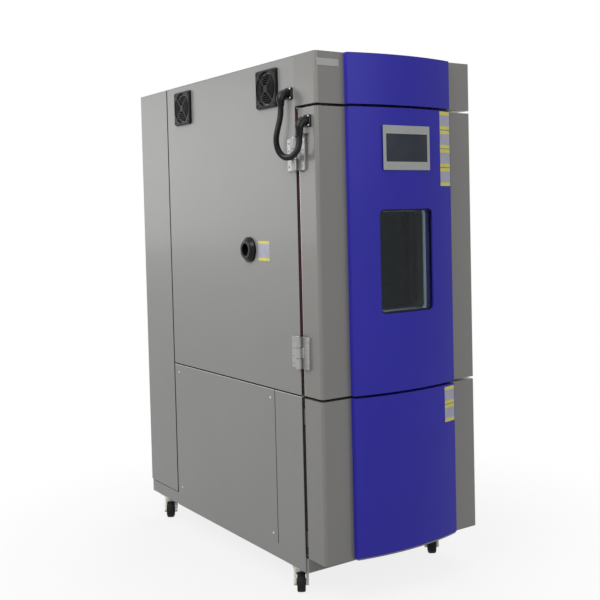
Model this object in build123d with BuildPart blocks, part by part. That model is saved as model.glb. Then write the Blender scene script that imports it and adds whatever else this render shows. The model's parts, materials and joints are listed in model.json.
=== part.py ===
from build123d import *
import os
from math import cos, pi, radians, sin, tan

os.makedirs("parts", exist_ok=True)

# Floor-standing environmental test chamber on casters.
# Front faces -Y, the hinge side is -X, +Z is up, the origin is on the floor under the middle.

# Overall form
WIDTH = 750
DEPTH = 1475
BASE_HEIGHT = 53
PANEL_LIFT = 5
LOWER_HEIGHT = 604
DOOR_HEIGHT = 1064
HEAD_HEIGHT = 190
DOOR_THICKNESS = 112
SEAL_GAP = 12
SEAM_GAP = 10
HEAD_COVER_DEPTH = 131
REAR_SEAM_DEPTH = 1188
ACCESS_SEAM_DEPTH = 321
PANEL_JOINT = 1
SHEET = 1.5
RETURN_DEPTH = 12.5
CORNER_RADIUS = 12
EDGE_RADIUS = 3

# Bowed front covers
FASCIA_WIDTH = 492
FASCIA_EDGE = 20
FASCIA_BOW = 30
FASCIA_SHEET = 2.5
FASCIA_LIFT = 7
FASCIA_BAND_INSET = 3

# Casters
WHEEL_RADIUS = 37.5
WHEEL_WIDTH = 32
CASTER_HEIGHT = 102
CASTER_TRAIL = 34
CASTER_PLATE = 80
CASTER_PLATE_THICKNESS = 4
CASTER_INSET_X = 45
CASTER_INSET_Y = 115
CASTER_TURN = 236
FORK_SHEET = 4
FORK_PLAY = 3
AXLE_RADIUS = 5

# Frame
TUBE = 30
TUBE_WALL = 3
FRAME_CHANNEL = 45
FRAME_CHANNEL_WALL = 4
PAN_SHEET = 2

# Test space
CHAMBER_WIDTH = 500
CHAMBER_HEIGHT = 750
CHAMBER_DEPTH = 600
PLENUM_DEPTH = 150
CHAMBER_FLOOR = 140
REAR_INSULATION = 100
SHELF_COUNT = 2
SHELF_PITCH = 240
SHELF_FIRST = 210

# Window, controller, port and fan places
WINDOW_WIDTH = 255
WINDOW_HEIGHT = 387
WINDOW_Z = 491
WINDOW_RADIUS = 20
PANE_THICKNESS = 6
PANEL_SCREEN_WIDTH = 199
PANEL_SCREEN_HEIGHT = 103
BEZEL_WIDTH = 225
BEZEL_HEIGHT = 165
BEZEL_Z = 911.5
BEZEL_DEPTH = 12
PORT_BORE = 50
PORT_TUBE_WALL = 4
PORT_FLANGE_RADIUS = 50
PORT_FLANGE_DEPTH = 22
PORT_DEPTH = 482
PORT_Z = 538
FAN_SIZE = 120
FAN_GUARD = 145
FAN_GUARD_DEPTH = 13
FAN_FRAME_DEPTH = 38
FAN_DEPTHS = (315, 1020)
FAN_Z = 90

# Hinges and latch
HINGE_HEIGHT = 118
HINGE_RADIUS = 13
HINGE_PIN_RADIUS = 6
HINGE_STANDOFF = 18
HINGE_LEAF = 58
HINGE_LEAF_THICKNESS = 9
HINGE_ZS = (165, 892)
LATCH_Z = 530
LATCH_REACH = 87
LATCH_SETBACK = 65
LATCH_SWING = 60
LATCH_STUD_RADIUS = 6
LEVER_LENGTH = 130

# Hose between the cabinet and the door
HOSE_RADIUS = 10
ELBOW_RADIUS = 13

# Fits
RUNNING = 0.05
SOFT_CLEARANCE = 0.3
FREE_CLEARANCE = 5

# Stations worked out from the sizes above
FRONT_Y = -(DEPTH - FASCIA_EDGE - FASCIA_BOW) / 2
DOOR_BACK_Y = FRONT_Y + DOOR_THICKNESS
CABINET_Y = DOOR_BACK_Y + SEAL_GAP
SIDE_PANEL_Y = FRONT_Y + HEAD_COVER_DEPTH + PANEL_JOINT
ACCESS_Y = FRONT_Y + ACCESS_SEAM_DEPTH
REAR_SEAM_Y = FRONT_Y + REAR_SEAM_DEPTH
BACK_Y = FRONT_Y + DEPTH
SIDE_X = WIDTH / 2
POST_X = SIDE_X - SHEET - RETURN_DEPTH
POST_INNER_X = POST_X - TUBE
BASE_Z = CASTER_HEIGHT
BASE_TOP_Z = BASE_Z + BASE_HEIGHT
PAN_Z = BASE_TOP_Z + PAN_SHEET
PANEL_Z = BASE_TOP_Z + PANEL_LIFT
SEAM_Z = PANEL_Z + LOWER_HEIGHT
HEAD_Z = SEAM_Z + DOOR_HEIGHT
TOP_Z = HEAD_Z + HEAD_HEIGHT
DOOR_Z = SEAM_Z + SEAM_GAP / 2
DOOR_TOP_Z = HEAD_Z - SEAM_GAP / 2
FRAME_FRONT_Y = CABINET_Y + SHEET
FRAME_BACK_Y = BACK_Y - SHEET - RETURN_DEPTH
TOP_RAIL_Z = TOP_Z - SHEET - TUBE
FLOOR_Z = SEAM_Z + TUBE / 2 + CHAMBER_FLOOR
CEILING_Z = FLOOR_Z + CHAMBER_HEIGHT
MID_Z = FLOOR_Z + CHAMBER_HEIGHT / 2
BAFFLE_Y = CABINET_Y + CHAMBER_DEPTH
LINER_BACK_Y = BAFFLE_Y + PLENUM_DEPTH
INSULATION_BACK_Y = LINER_BACK_Y + SHEET + REAR_INSULATION
WINDOW_MID_Z = SEAM_Z + WINDOW_Z
BEZEL_MID_Z = SEAM_Z + BEZEL_Z
FASCIA_FRONT_Y = FRONT_Y - FASCIA_EDGE - FASCIA_BOW
PORT_Y = FRONT_Y + PORT_DEPTH
PORT_MID_Z = SEAM_Z + PORT_Z
FAN_MID_Z = HEAD_Z + FAN_Z
HINGE_X = -SIDE_X - HINGE_STANDOFF
HINGE_Y = DOOR_BACK_Y + SEAL_GAP / 2
SIDES = (-1, 1)


def save(piece, name):
    piece.part.label = name
    export_step(piece.part, f"parts/{name}.step")


def save_group(solids, name):
    """Touching solids that stay separate pieces of one node."""
    export_step(Compound(label=name, children=solids), f"parts/{name}.step")


def block(x0, x1, y0, y1, z0, z1, mode=Mode.ADD):
    """A box between opposite corners, inside the part block that is open."""
    with Locations(((x0 + x1) / 2, (y0 + y1) / 2, (z0 + z1) / 2)):
        Box(abs(x1 - x0), abs(y1 - y0), abs(z1 - z0), mode=mode)


def bowed_outline(inset, front_y):
    """The bowed cover in plan, set in from its outer skin by one amount all round."""
    half = FASCIA_WIDTH / 2 - inset
    edge_y = FRONT_Y - FASCIA_EDGE + inset
    with BuildLine() as outline:
        ThreePointArc((-half, edge_y), (0, FASCIA_FRONT_Y + inset), (half, edge_y))
        Polyline((half, edge_y), (half, front_y), (-half, front_y), (-half, edge_y))
    make_face(outline.edges())


def frame_tube(x, y, z, length, direction):
    """One length of square tube, centred on its own axis, from its start point."""
    planes = {"x": Plane.YZ, "y": Plane.ZX, "z": Plane.XY}
    plane = planes[direction]
    with BuildSketch(Plane(origin=(x, y, z), x_dir=plane.x_dir, z_dir=plane.z_dir)) as section:
        Rectangle(TUBE, TUBE)
        Rectangle(TUBE - 2 * TUBE_WALL, TUBE - 2 * TUBE_WALL, mode=Mode.SUBTRACT)
    extrude(section.sketch, amount=length)


def turned(outline, origin, x_dir, z_dir, axis):
    """A solid of revolution from an outline of points in the plane through its axis."""
    with BuildSketch(Plane(origin=origin, x_dir=x_dir, z_dir=z_dir)) as section:
        with BuildLine():
            Polyline(*outline, close=True)
        make_face()
    revolve(section.sketch, axis=axis)


def rod(start, end, radius, mode=Mode.ADD):
    """A round bar between two points."""
    line = Vector(*end) - Vector(*start)
    with BuildSketch(Plane(origin=start, z_dir=line)) as section:
        Circle(radius)
    extrude(section.sketch, amount=line.length, mode=mode)


# Base: a welded channel ring with cross members and caster pads
BASE_X = SIDE_X - FRAME_CHANNEL_WALL
BASE_FRONT_Y = FRONT_Y + DOOR_THICKNESS + SEAL_GAP / 2
BASE_BACK_Y = BACK_Y - FRAME_CHANNEL_WALL
CASTER_X = SIDE_X - CASTER_INSET_X
CASTER_FRONT_Y = BASE_FRONT_Y + CASTER_INSET_Y
CASTER_BACK_Y = BASE_BACK_Y - CASTER_INSET_Y
CASTER_PLACES = {
    "front_left": (-CASTER_X, CASTER_FRONT_Y),
    "front_right": (CASTER_X, CASTER_FRONT_Y),
    "rear_left": (-CASTER_X, CASTER_BACK_Y),
    "rear_right": (CASTER_X, CASTER_BACK_Y),
}
CROSS_MEMBER_YS = [BASE_FRONT_Y + 360, (BASE_FRONT_Y + BASE_BACK_Y) / 2, BASE_BACK_Y - 360]

with BuildPart() as base_frame:
    block(-BASE_X, BASE_X, BASE_FRONT_Y, BASE_BACK_Y, BASE_Z, BASE_TOP_Z)
    wall = FRAME_CHANNEL_WALL
    block(
        -BASE_X + wall, BASE_X - wall, BASE_FRONT_Y + wall, BASE_BACK_Y - wall,
        BASE_Z + wall, BASE_TOP_Z - wall, Mode.SUBTRACT,
    )
    lip = FRAME_CHANNEL
    block(
        -BASE_X + lip, BASE_X - lip, BASE_FRONT_Y + lip, BASE_BACK_Y - lip,
        BASE_Z, BASE_TOP_Z, Mode.SUBTRACT,
    )
    for member_y in CROSS_MEMBER_YS:
        block(
            -BASE_X + wall, BASE_X - wall, member_y - lip / 2, member_y + lip / 2,
            BASE_Z + wall, BASE_TOP_Z - wall,
        )
    pad = CASTER_PLATE / 2 + 10
    for pad_x, pad_y in CASTER_PLACES.values():
        inner_x = pad_x - pad if pad_x > 0 else pad_x + pad
        outer_x = BASE_X - wall if pad_x > 0 else -BASE_X + wall
        block(inner_x, outer_x, pad_y - pad, pad_y + pad, BASE_Z, BASE_Z + wall)
    with BuildPart(mode=Mode.PRIVATE) as floor_pan:
        block(-POST_X, POST_X, FRAME_FRONT_Y, FRAME_BACK_Y, BASE_TOP_Z, PAN_Z)
        with Locations((0, (ACCESS_Y + REAR_SEAM_Y) / 2, BASE_TOP_Z)):
            with GridLocations(220, 260, 2, 3):
                Hole(9)
    add(floor_pan.part)
save(base_frame, "base_frame")

# Upright frame of square tube, welded to one piece
POST_YS = [FRAME_FRONT_Y + TUBE / 2, REAR_SEAM_Y, FRAME_BACK_Y - TUBE / 2]
RAIL_ZS = [SEAM_Z, HEAD_Z, TOP_RAIL_Z + TUBE / 2]
POST_MID_X = POST_X - TUBE / 2
BRACKET_WIDTH = 60
BRACKET_SHEET = 3
BRACKET_LAP = 40
LOWER_TOP_Z = SEAM_Z - SEAM_GAP / 2
BRACKET_ZS = (PANEL_Z + 70, LOWER_TOP_Z - 70)

with BuildPart() as cabinet_frame:
    for side in SIDES:
        for post_y in POST_YS:
            frame_tube(side * POST_MID_X, post_y, PAN_Z, TOP_RAIL_Z + TUBE - PAN_Z, "z")
        frame_tube(side * POST_MID_X, ACCESS_Y, PAN_Z, SEAM_Z - TUBE / 2 - PAN_Z, "z")
        for rail_z in RAIL_ZS:
            for start_y, stop_y in zip(POST_YS, POST_YS[1:]):
                length = stop_y - start_y - TUBE
                frame_tube(side * POST_MID_X, start_y + TUBE / 2, rail_z, length, "y")
    for rail_y in POST_YS:
        for rail_z in RAIL_ZS:
            frame_tube(-POST_INNER_X, rail_y, rail_z, 2 * POST_INNER_X, "x")
    for side in SIDES:
        for bracket_z in BRACKET_ZS:
            z0, z1 = bracket_z - BRACKET_WIDTH / 2, bracket_z + BRACKET_WIDTH / 2
            x0 = side * (SIDE_X - SHEET)
            x1 = side * (SIDE_X - SHEET - BRACKET_SHEET)
            block(x0, x1, DOOR_BACK_Y - BRACKET_LAP, FRAME_FRONT_Y, z0, z1)
            block(x0, side * POST_INNER_X, FRAME_FRONT_Y - BRACKET_SHEET, FRAME_FRONT_Y, z0, z1)
save(cabinet_frame, "cabinet_frame")


def side_sheet(side, y0, y1, z0, z1):
    """A folded cover on the cabinet's side: flat outside, with a return along each edge."""
    outer = side * SIDE_X
    inner = side * (SIDE_X - SHEET)
    deep = side * POST_X
    with BuildPart(mode=Mode.PRIVATE) as cover:
        block(outer, deep, y0, y1, z0, z1)
        block(inner, deep, y0 + SHEET, y1 - SHEET, z0 + SHEET, z1 - SHEET, Mode.SUBTRACT)
        outer_face = cover.faces().sort_by(Axis.X)[0 if side < 0 else -1]
        chamfer(outer_face.edges(), SHEET * 0.6)
    add(cover.part)


def bore_side(x0, x1, y, z, radius):
    """A round hole along X through what is open."""
    with BuildSketch(Plane(origin=(x0, y, z), z_dir=(1, 0, 0))) as bore:
        Circle(radius)
    extrude(bore.sketch, amount=x1 - x0, mode=Mode.SUBTRACT)


# Side covers
UPPER_TOP_Z = TOP_Z - SHEET
GLAND_Y = FRONT_Y + 165
GLAND_Z = HEAD_Z + 54
STUB_RADIUS = 8
PORT_TUBE_RADIUS = PORT_BORE / 2 + PORT_TUBE_WALL

with BuildPart() as side_panels:
    for side in SIDES:
        side_sheet(side, SIDE_PANEL_Y, REAR_SEAM_Y - PANEL_JOINT, SEAM_Z + PANEL_JOINT, UPPER_TOP_Z)
        side_sheet(side, ACCESS_Y + PANEL_JOINT, REAR_SEAM_Y - PANEL_JOINT, PANEL_Z, SEAM_Z - PANEL_JOINT)
        side_sheet(side, SIDE_PANEL_Y, ACCESS_Y - PANEL_JOINT, PANEL_Z, SEAM_Z - PANEL_JOINT)
    outside = -SIDE_X - 1
    inside = -SIDE_X + SHEET + 1
    for fan_depth in FAN_DEPTHS:
        bore_side(outside, inside, FRONT_Y + fan_depth, FAN_MID_Z, FAN_SIZE / 2 - 3)
    bore_side(outside, inside, PORT_Y, PORT_MID_Z, PORT_TUBE_RADIUS + RUNNING)
    bore_side(outside, inside, GLAND_Y, GLAND_Z, STUB_RADIUS + RUNNING)
save(side_panels, "side_panels")

# Rear corner columns, each a side and part of the back in one folded sheet
COLUMN_BACK = 62
with BuildPart() as rear_columns:
    for side in SIDES:
        y0 = REAR_SEAM_Y + PANEL_JOINT
        with BuildSketch(Plane.XY.offset(PANEL_Z)):
            with BuildLine():
                FilletPolyline(
                    (side * POST_X, y0 + SHEET / 2),
                    (side * (SIDE_X - SHEET / 2), y0 + SHEET / 2),
                    (side * (SIDE_X - SHEET / 2), BACK_Y - SHEET / 2),
                    (side * (SIDE_X - COLUMN_BACK), BACK_Y - SHEET / 2),
                    (side * (SIDE_X - COLUMN_BACK), FRAME_BACK_Y),
                    radius=EDGE_RADIUS,
                )
            trace(line_width=SHEET)
        extrude(amount=UPPER_TOP_Z - PANEL_Z)
save(rear_columns, "rear_columns")

# Rear cover with pressed louvres
REAR_COVER_X = SIDE_X - COLUMN_BACK - SHEET / 2 - PANEL_JOINT
LOUVRE_LENGTH = 220
LOUVRE_RISE = 16
LOUVRE_OUT = 8
LOUVRE_PITCH = 38
LOUVRE_ROWS = 9
LOUVRE_COLUMNS = 2
LOUVRE_MID_Z = PANEL_Z + 300
LOUVRE_SPACING = 270


def louvre(x, z):
    """A pressed louvre: a quarter-round scoop, open below, for the warm air."""
    base_y = BACK_Y - SHEET
    start = (x - LOUVRE_LENGTH / 2, base_y, z)
    with BuildSketch(Plane(origin=start, x_dir=(0, 1, 0), z_dir=(1, 0, 0))) as scoop:
        with BuildLine():
            Polyline((0, LOUVRE_RISE), (0, 0), (LOUVRE_OUT + SHEET, 0))
            Line((LOUVRE_OUT + SHEET, 0), (LOUVRE_OUT + SHEET, LOUVRE_RISE * 0.3))
            ThreePointArc(
                (LOUVRE_OUT + SHEET, LOUVRE_RISE * 0.3),
                (LOUVRE_OUT * 0.72, LOUVRE_RISE * 0.75),
                (0, LOUVRE_RISE),
            )
        make_face()
    extrude(scoop.sketch, amount=LOUVRE_LENGTH)
    inner_start = (x - LOUVRE_LENGTH / 2 + SHEET, base_y, z)
    with BuildSketch(Plane(origin=inner_start, x_dir=(0, 1, 0), z_dir=(1, 0, 0))) as hollow:
        with BuildLine():
            Polyline((-SHEET, LOUVRE_RISE * 0.7), (-SHEET, -1), (LOUVRE_OUT, -1))
            Line((LOUVRE_OUT, -1), (LOUVRE_OUT, LOUVRE_RISE * 0.2))
            Line((LOUVRE_OUT, LOUVRE_RISE * 0.2), (-SHEET, LOUVRE_RISE * 0.7))
        make_face()
    extrude(hollow.sketch, amount=LOUVRE_LENGTH - 2 * SHEET, mode=Mode.SUBTRACT)


with BuildPart() as rear_panel:
    block(-REAR_COVER_X, REAR_COVER_X, FRAME_BACK_Y, BACK_Y, PANEL_Z, UPPER_TOP_Z)
    block(
        -REAR_COVER_X + SHEET, REAR_COVER_X - SHEET, FRAME_BACK_Y, BACK_Y - SHEET,
        PANEL_Z + SHEET, UPPER_TOP_Z - SHEET, Mode.SUBTRACT,
    )
    for column in range(LOUVRE_COLUMNS):
        for row in range(LOUVRE_ROWS):
            louvre(
                (column - (LOUVRE_COLUMNS - 1) / 2) * LOUVRE_SPACING,
                LOUVRE_MID_Z + (row - (LOUVRE_ROWS - 1) / 2) * LOUVRE_PITCH,
            )
save(rear_panel, "rear_panel")

with BuildPart() as roof_panel:
    block(-SIDE_X, SIDE_X, SIDE_PANEL_Y, BACK_Y, UPPER_TOP_Z, TOP_Z)
    fillet(roof_panel.edges().filter_by(Axis.Z).sort_by(Axis.Y)[-2:], EDGE_RADIUS)
save(roof_panel, "roof_panel")


def front_shell(z0, z1, back_y):
    """A folded front: flat face, rounded corners, returns at both sides, top and bottom."""
    block(-SIDE_X, SIDE_X, FRONT_Y, back_y, z0, z1)
    fillet(edges().filter_by(Axis.Z).sort_by(Axis.Y)[:2], CORNER_RADIUS)
    offset(amount=-SHEET, openings=faces().sort_by(Axis.Y)[-1])


def bowed_cover(z0, z1, tunnel=False):
    """The bowed cover: a thin skin with side, top and bottom walls, open at the back.
    With a tunnel, walls run back from the window's edge to the door."""
    with BuildSketch(Plane.XY.offset(z0)) as skin:
        bowed_outline(0, FRONT_Y)
    extrude(skin.sketch, amount=z1 - z0)
    with BuildPart(mode=Mode.PRIVATE) as hollow:
        with BuildSketch(Plane.XY.offset(z0 + FASCIA_SHEET)) as inside:
            bowed_outline(FASCIA_SHEET, FRONT_Y)
        extrude(inside.sketch, amount=z1 - z0 - 2 * FASCIA_SHEET)
        if tunnel:
            front_window(
                WINDOW_WIDTH + 2 * FASCIA_SHEET, WINDOW_HEIGHT + 2 * FASCIA_SHEET,
                WINDOW_RADIUS + FASCIA_SHEET, WINDOW_MID_Z, FRONT_Y, FASCIA_FRONT_Y - 1,
            )
    add(hollow.part, mode=Mode.SUBTRACT)


def front_window(width, height, radius, z, y0, y1, mode=Mode.SUBTRACT):
    """A rounded opening along Y, centred on the door."""
    with BuildSketch(Plane(origin=(0, y0, z), x_dir=(1, 0, 0), z_dir=(0, -1, 0))) as opening:
        RectangleRounded(width, height, radius)
    extrude(opening.sketch, amount=y0 - y1, mode=mode)


# Head: grey shell and bowed cover
HEAD_BACK_Y = FRONT_Y + HEAD_COVER_DEPTH
with BuildPart() as head_shell:
    front_shell(HEAD_Z + SEAM_GAP / 2, TOP_Z, HEAD_BACK_Y)
    block(
        -POST_X, POST_X, FRAME_FRONT_Y, HEAD_BACK_Y + 1, HEAD_Z, UPPER_TOP_Z - PANEL_JOINT, Mode.SUBTRACT,
    )
save(head_shell, "head_shell")

with BuildPart() as head_fascia:
    bowed_cover(HEAD_Z + SEAM_GAP / 2, TOP_Z)
save(head_fascia, "head_fascia")

# Lower front: grey shell and bowed cover
with BuildPart() as lower_front_shell:
    front_shell(PANEL_Z, LOWER_TOP_Z, DOOR_BACK_Y)
    with BuildSketch(Plane.XY.offset(PANEL_Z)) as band:
        bowed_outline(FASCIA_BAND_INSET, FRONT_Y)
    extrude(band.sketch, amount=FASCIA_LIFT)
save(lower_front_shell, "lower_front_shell")

with BuildPart() as lower_front_fascia:
    bowed_cover(PANEL_Z + FASCIA_LIFT, LOWER_TOP_Z)
save(lower_front_fascia, "lower_front_fascia")

# Door: outer shell, core, inner pan, window, controller place
DOOR_FRONT_INNER_Y = FRONT_Y + SHEET
PLUG_DEPTH = 30
PLUG_X = CHAMBER_WIDTH / 2 - FREE_CLEARANCE
PLUG_Z0 = FLOOR_Z + FREE_CLEARANCE
PLUG_Z1 = CEILING_Z - FREE_CLEARANCE
PAN_BACK_Y = DOOR_BACK_Y
PLUG_BACK_Y = DOOR_BACK_Y + PLUG_DEPTH
SLEEVE_SHEET = 2
SLEEVE_WIDTH = WINDOW_WIDTH + 2 * SLEEVE_SHEET
SLEEVE_HEIGHT = WINDOW_HEIGHT + 2 * SLEEVE_SHEET
SLEEVE_RADIUS = WINDOW_RADIUS + SLEEVE_SHEET

with BuildPart() as door_shell:
    front_shell(DOOR_Z, DOOR_TOP_Z, DOOR_BACK_Y - SHEET)
    front_window(
        SLEEVE_WIDTH, SLEEVE_HEIGHT, SLEEVE_RADIUS, WINDOW_MID_Z, DOOR_FRONT_INNER_Y + 1, FRONT_Y - 1,
    )
save(door_shell, "door_shell")

with BuildPart() as door_core:
    block(
        -SIDE_X + SHEET, SIDE_X - SHEET, DOOR_FRONT_INNER_Y, PAN_BACK_Y - SHEET,
        DOOR_Z + SHEET, DOOR_TOP_Z - SHEET,
    )
    fillet(door_core.edges().filter_by(Axis.Z).sort_by(Axis.Y)[:2], CORNER_RADIUS - SHEET)
    block(-PLUG_X + SHEET, PLUG_X - SHEET, PAN_BACK_Y - SHEET, PLUG_BACK_Y - SHEET,
          PLUG_Z0 + SHEET, PLUG_Z1 - SHEET)
    front_window(
        SLEEVE_WIDTH, SLEEVE_HEIGHT, SLEEVE_RADIUS, WINDOW_MID_Z, PLUG_BACK_Y, FRONT_Y,
    )
save(door_core, "door_core")

with BuildPart() as door_inner_pan:
    block(-SIDE_X, SIDE_X, PAN_BACK_Y - SHEET, PAN_BACK_Y, DOOR_Z, DOOR_TOP_Z)
    block(-PLUG_X, PLUG_X, PAN_BACK_Y - SHEET, PLUG_BACK_Y, PLUG_Z0, PLUG_Z1)
    fillet(door_inner_pan.faces().sort_by(Axis.Y)[-1].edges(), EDGE_RADIUS)
    block(-PLUG_X + SHEET, PLUG_X - SHEET, PAN_BACK_Y - SHEET, PLUG_BACK_Y - SHEET,
          PLUG_Z0 + SHEET, PLUG_Z1 - SHEET, Mode.SUBTRACT)
    front_window(
        SLEEVE_WIDTH, SLEEVE_HEIGHT, SLEEVE_RADIUS, WINDOW_MID_Z, PLUG_BACK_Y + 1, FRONT_Y,
    )
save(door_inner_pan, "door_inner_pan")

PANE_YS = (FRONT_Y + 2, FRONT_Y + 46, FRONT_Y + 90, PLUG_BACK_Y - PANE_THICKNESS - 2)
PANE_WIDTH = WINDOW_WIDTH - 2 * SOFT_CLEARANCE
PANE_HEIGHT = WINDOW_HEIGHT - 2 * SOFT_CLEARANCE
PANE_RADIUS = WINDOW_RADIUS - SOFT_CLEARANCE
SPACER_WIDTH = 8
with BuildPart() as window_panes:
    for pane_y in PANE_YS:
        front_window(
            PANE_WIDTH, PANE_HEIGHT, PANE_RADIUS, WINDOW_MID_Z, pane_y + PANE_THICKNESS, pane_y, Mode.ADD,
        )
save(window_panes, "window_panes")

with BuildPart() as window_sleeve:
    front_window(
        SLEEVE_WIDTH, SLEEVE_HEIGHT, SLEEVE_RADIUS, WINDOW_MID_Z, PLUG_BACK_Y, FRONT_Y, Mode.ADD,
    )
    front_window(
        WINDOW_WIDTH, WINDOW_HEIGHT, WINDOW_RADIUS, WINDOW_MID_Z, PLUG_BACK_Y, FRONT_Y,
    )
    for near_y, far_y in zip(PANE_YS, PANE_YS[1:]):
        rim_y = near_y + PANE_THICKNESS
        front_window(
            WINDOW_WIDTH, WINDOW_HEIGHT, WINDOW_RADIUS, WINDOW_MID_Z, far_y, rim_y, Mode.ADD,
        )
        front_window(
            WINDOW_WIDTH - 2 * SPACER_WIDTH, WINDOW_HEIGHT - 2 * SPACER_WIDTH,
            WINDOW_RADIUS - SPACER_WIDTH / 2, WINDOW_MID_Z, far_y, rim_y,
        )
save(window_sleeve, "window_sleeve")

BEZEL_BODY_WIDTH = BEZEL_WIDTH - 20
BEZEL_BODY_HEIGHT = BEZEL_HEIGHT - 20
with BuildPart() as door_fascia:
    bowed_cover(DOOR_Z, DOOR_TOP_Z, tunnel=True)
    front_window(WINDOW_WIDTH, WINDOW_HEIGHT, WINDOW_RADIUS, WINDOW_MID_Z, FRONT_Y, FASCIA_FRONT_Y - 1)
    front_window(BEZEL_BODY_WIDTH, BEZEL_BODY_HEIGHT, 2, BEZEL_MID_Z, FRONT_Y - 5, FASCIA_FRONT_Y - 1)
save(door_fascia, "door_fascia")

# Controller: a metal bezel with its housing behind, and the display
BEZEL_FRONT_Y = FASCIA_FRONT_Y - 3
SCREEN_RECESS = 2
with BuildPart() as controller_bezel:
    front_window(BEZEL_WIDTH, BEZEL_HEIGHT, 4, BEZEL_MID_Z, FASCIA_FRONT_Y, BEZEL_FRONT_Y, Mode.ADD)
    front_window(
        BEZEL_BODY_WIDTH - 0.5, BEZEL_BODY_HEIGHT - 0.5, 1.5, BEZEL_MID_Z, FRONT_Y, FASCIA_FRONT_Y, Mode.ADD,
    )
    chamfer(controller_bezel.faces().sort_by(Axis.Y)[0].edges(), 1)
    front_window(
        PANEL_SCREEN_WIDTH, PANEL_SCREEN_HEIGHT, 2, BEZEL_MID_Z, BEZEL_FRONT_Y + 6, BEZEL_FRONT_Y,
    )
save(controller_bezel, "controller_bezel")

with BuildPart() as controller_display:
    front_window(
        PANEL_SCREEN_WIDTH - 2 * SOFT_CLEARANCE, PANEL_SCREEN_HEIGHT - 2 * SOFT_CLEARANCE, 1.5,
        BEZEL_MID_Z, BEZEL_FRONT_Y + 6, BEZEL_FRONT_Y + SCREEN_RECESS, Mode.ADD,
    )
save(controller_display, "controller_display")

# Door seal: an inner ring round the mouth and an outer ring near the door's edge
SEAL_WIDTH = 18
SEAL_INNER = 10
SEAL_EDGE = 14
SEAL_OUTER_X = SIDE_X - SEAL_EDGE
with BuildPart() as door_seal:
    seal_y0, seal_y1 = DOOR_BACK_Y, CABINET_Y - SOFT_CLEARANCE
    inner_reach = SEAL_INNER + SEAL_WIDTH
    for ring_x, ring_z0, ring_z1 in (
        (SEAL_OUTER_X, DOOR_Z + SEAL_EDGE, DOOR_TOP_Z - SEAL_EDGE),
        (CHAMBER_WIDTH / 2 + inner_reach, FLOOR_Z - inner_reach, CEILING_Z + inner_reach),
    ):
        block(-ring_x, ring_x, seal_y0, seal_y1, ring_z0, ring_z1)
        block(
            -ring_x + SEAL_WIDTH, ring_x - SEAL_WIDTH, seal_y0, seal_y1,
            ring_z0 + SEAL_WIDTH, ring_z1 - SEAL_WIDTH, Mode.SUBTRACT,
        )
save(door_seal, "door_seal")

# Mouth: the flat frame that the seal presses on, flush with the sides
with BuildPart() as mouth_frame:
    block(-SIDE_X, SIDE_X, CABINET_Y, HEAD_BACK_Y, SEAM_Z, HEAD_Z)
    block(-SIDE_X + SHEET, SIDE_X - SHEET, FRAME_FRONT_Y, HEAD_BACK_Y, SEAM_Z, HEAD_Z, Mode.SUBTRACT)
    block(-CHAMBER_WIDTH / 2, CHAMBER_WIDTH / 2, CABINET_Y, FRAME_FRONT_Y, FLOOR_Z, CEILING_Z, Mode.SUBTRACT)
save(mouth_frame, "mouth_frame")

# Insulation: five flat slabs round the liner
LINER_X = CHAMBER_WIDTH / 2 + SHEET
LINER_Z0 = FLOOR_Z - SHEET
LINER_Z1 = CEILING_Z + SHEET
SLAB_Z0 = SEAM_Z + TUBE / 2
SLAB_Z1 = HEAD_Z - TUBE / 2
LINER_END_Y = LINER_BACK_Y + SHEET
SHAFT_RADIUS = 8
SHAFT_HOLE = 12
BLOWER_Z = MID_Z + 110
SLAB_PLACES = (
    (-POST_INNER_X, POST_INNER_X, FRAME_FRONT_Y, LINER_END_Y, SLAB_Z0, LINER_Z0),
    (-POST_INNER_X, POST_INNER_X, FRAME_FRONT_Y, LINER_END_Y, LINER_Z1, SLAB_Z1),
    (-POST_INNER_X, -LINER_X, FRAME_FRONT_Y, LINER_END_Y, LINER_Z0, LINER_Z1),
    (LINER_X, POST_INNER_X, FRAME_FRONT_Y, LINER_END_Y, LINER_Z0, LINER_Z1),
    (-POST_INNER_X, POST_INNER_X, LINER_END_Y, INSULATION_BACK_Y, SLAB_Z0, SLAB_Z1),
)
insulation_solids = []
for place in SLAB_PLACES:
    with BuildPart() as slab:
        block(*place)
        bore_side(-POST_INNER_X - 1, -LINER_X + 1, PORT_Y, PORT_MID_Z, PORT_TUBE_RADIUS + RUNNING)
        rod((0, LINER_END_Y, BLOWER_Z), (0, INSULATION_BACK_Y, BLOWER_Z), SHAFT_HOLE, Mode.SUBTRACT)
    insulation_solids.append(slab.part.solid())
save_group(insulation_solids, "insulation")

# Liner: the inner box of bright steel, five walls, open to the front
LINER_WALLS = (
    (-LINER_X, LINER_X, FRAME_FRONT_Y, LINER_BACK_Y, LINER_Z0, FLOOR_Z),
    (-LINER_X, LINER_X, FRAME_FRONT_Y, LINER_BACK_Y, CEILING_Z, LINER_Z1),
    (-LINER_X, -CHAMBER_WIDTH / 2, FRAME_FRONT_Y, LINER_BACK_Y, FLOOR_Z, CEILING_Z),
    (CHAMBER_WIDTH / 2, LINER_X, FRAME_FRONT_Y, LINER_BACK_Y, FLOOR_Z, CEILING_Z),
    (-LINER_X, LINER_X, LINER_BACK_Y, LINER_END_Y, LINER_Z0, LINER_Z1),
)
liner_solids = []
for place in LINER_WALLS:
    with BuildPart() as wall_sheet:
        block(*place)
        bore_side(-LINER_X - 1, -CHAMBER_WIDTH / 2 + 1, PORT_Y, PORT_MID_Z, PORT_TUBE_RADIUS + RUNNING)
        rod((0, LINER_BACK_Y, BLOWER_Z), (0, LINER_END_Y, BLOWER_Z), SHAFT_HOLE, Mode.SUBTRACT)
    liner_solids.append(wall_sheet.part.solid())
save_group(liner_solids, "chamber_liner")

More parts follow.
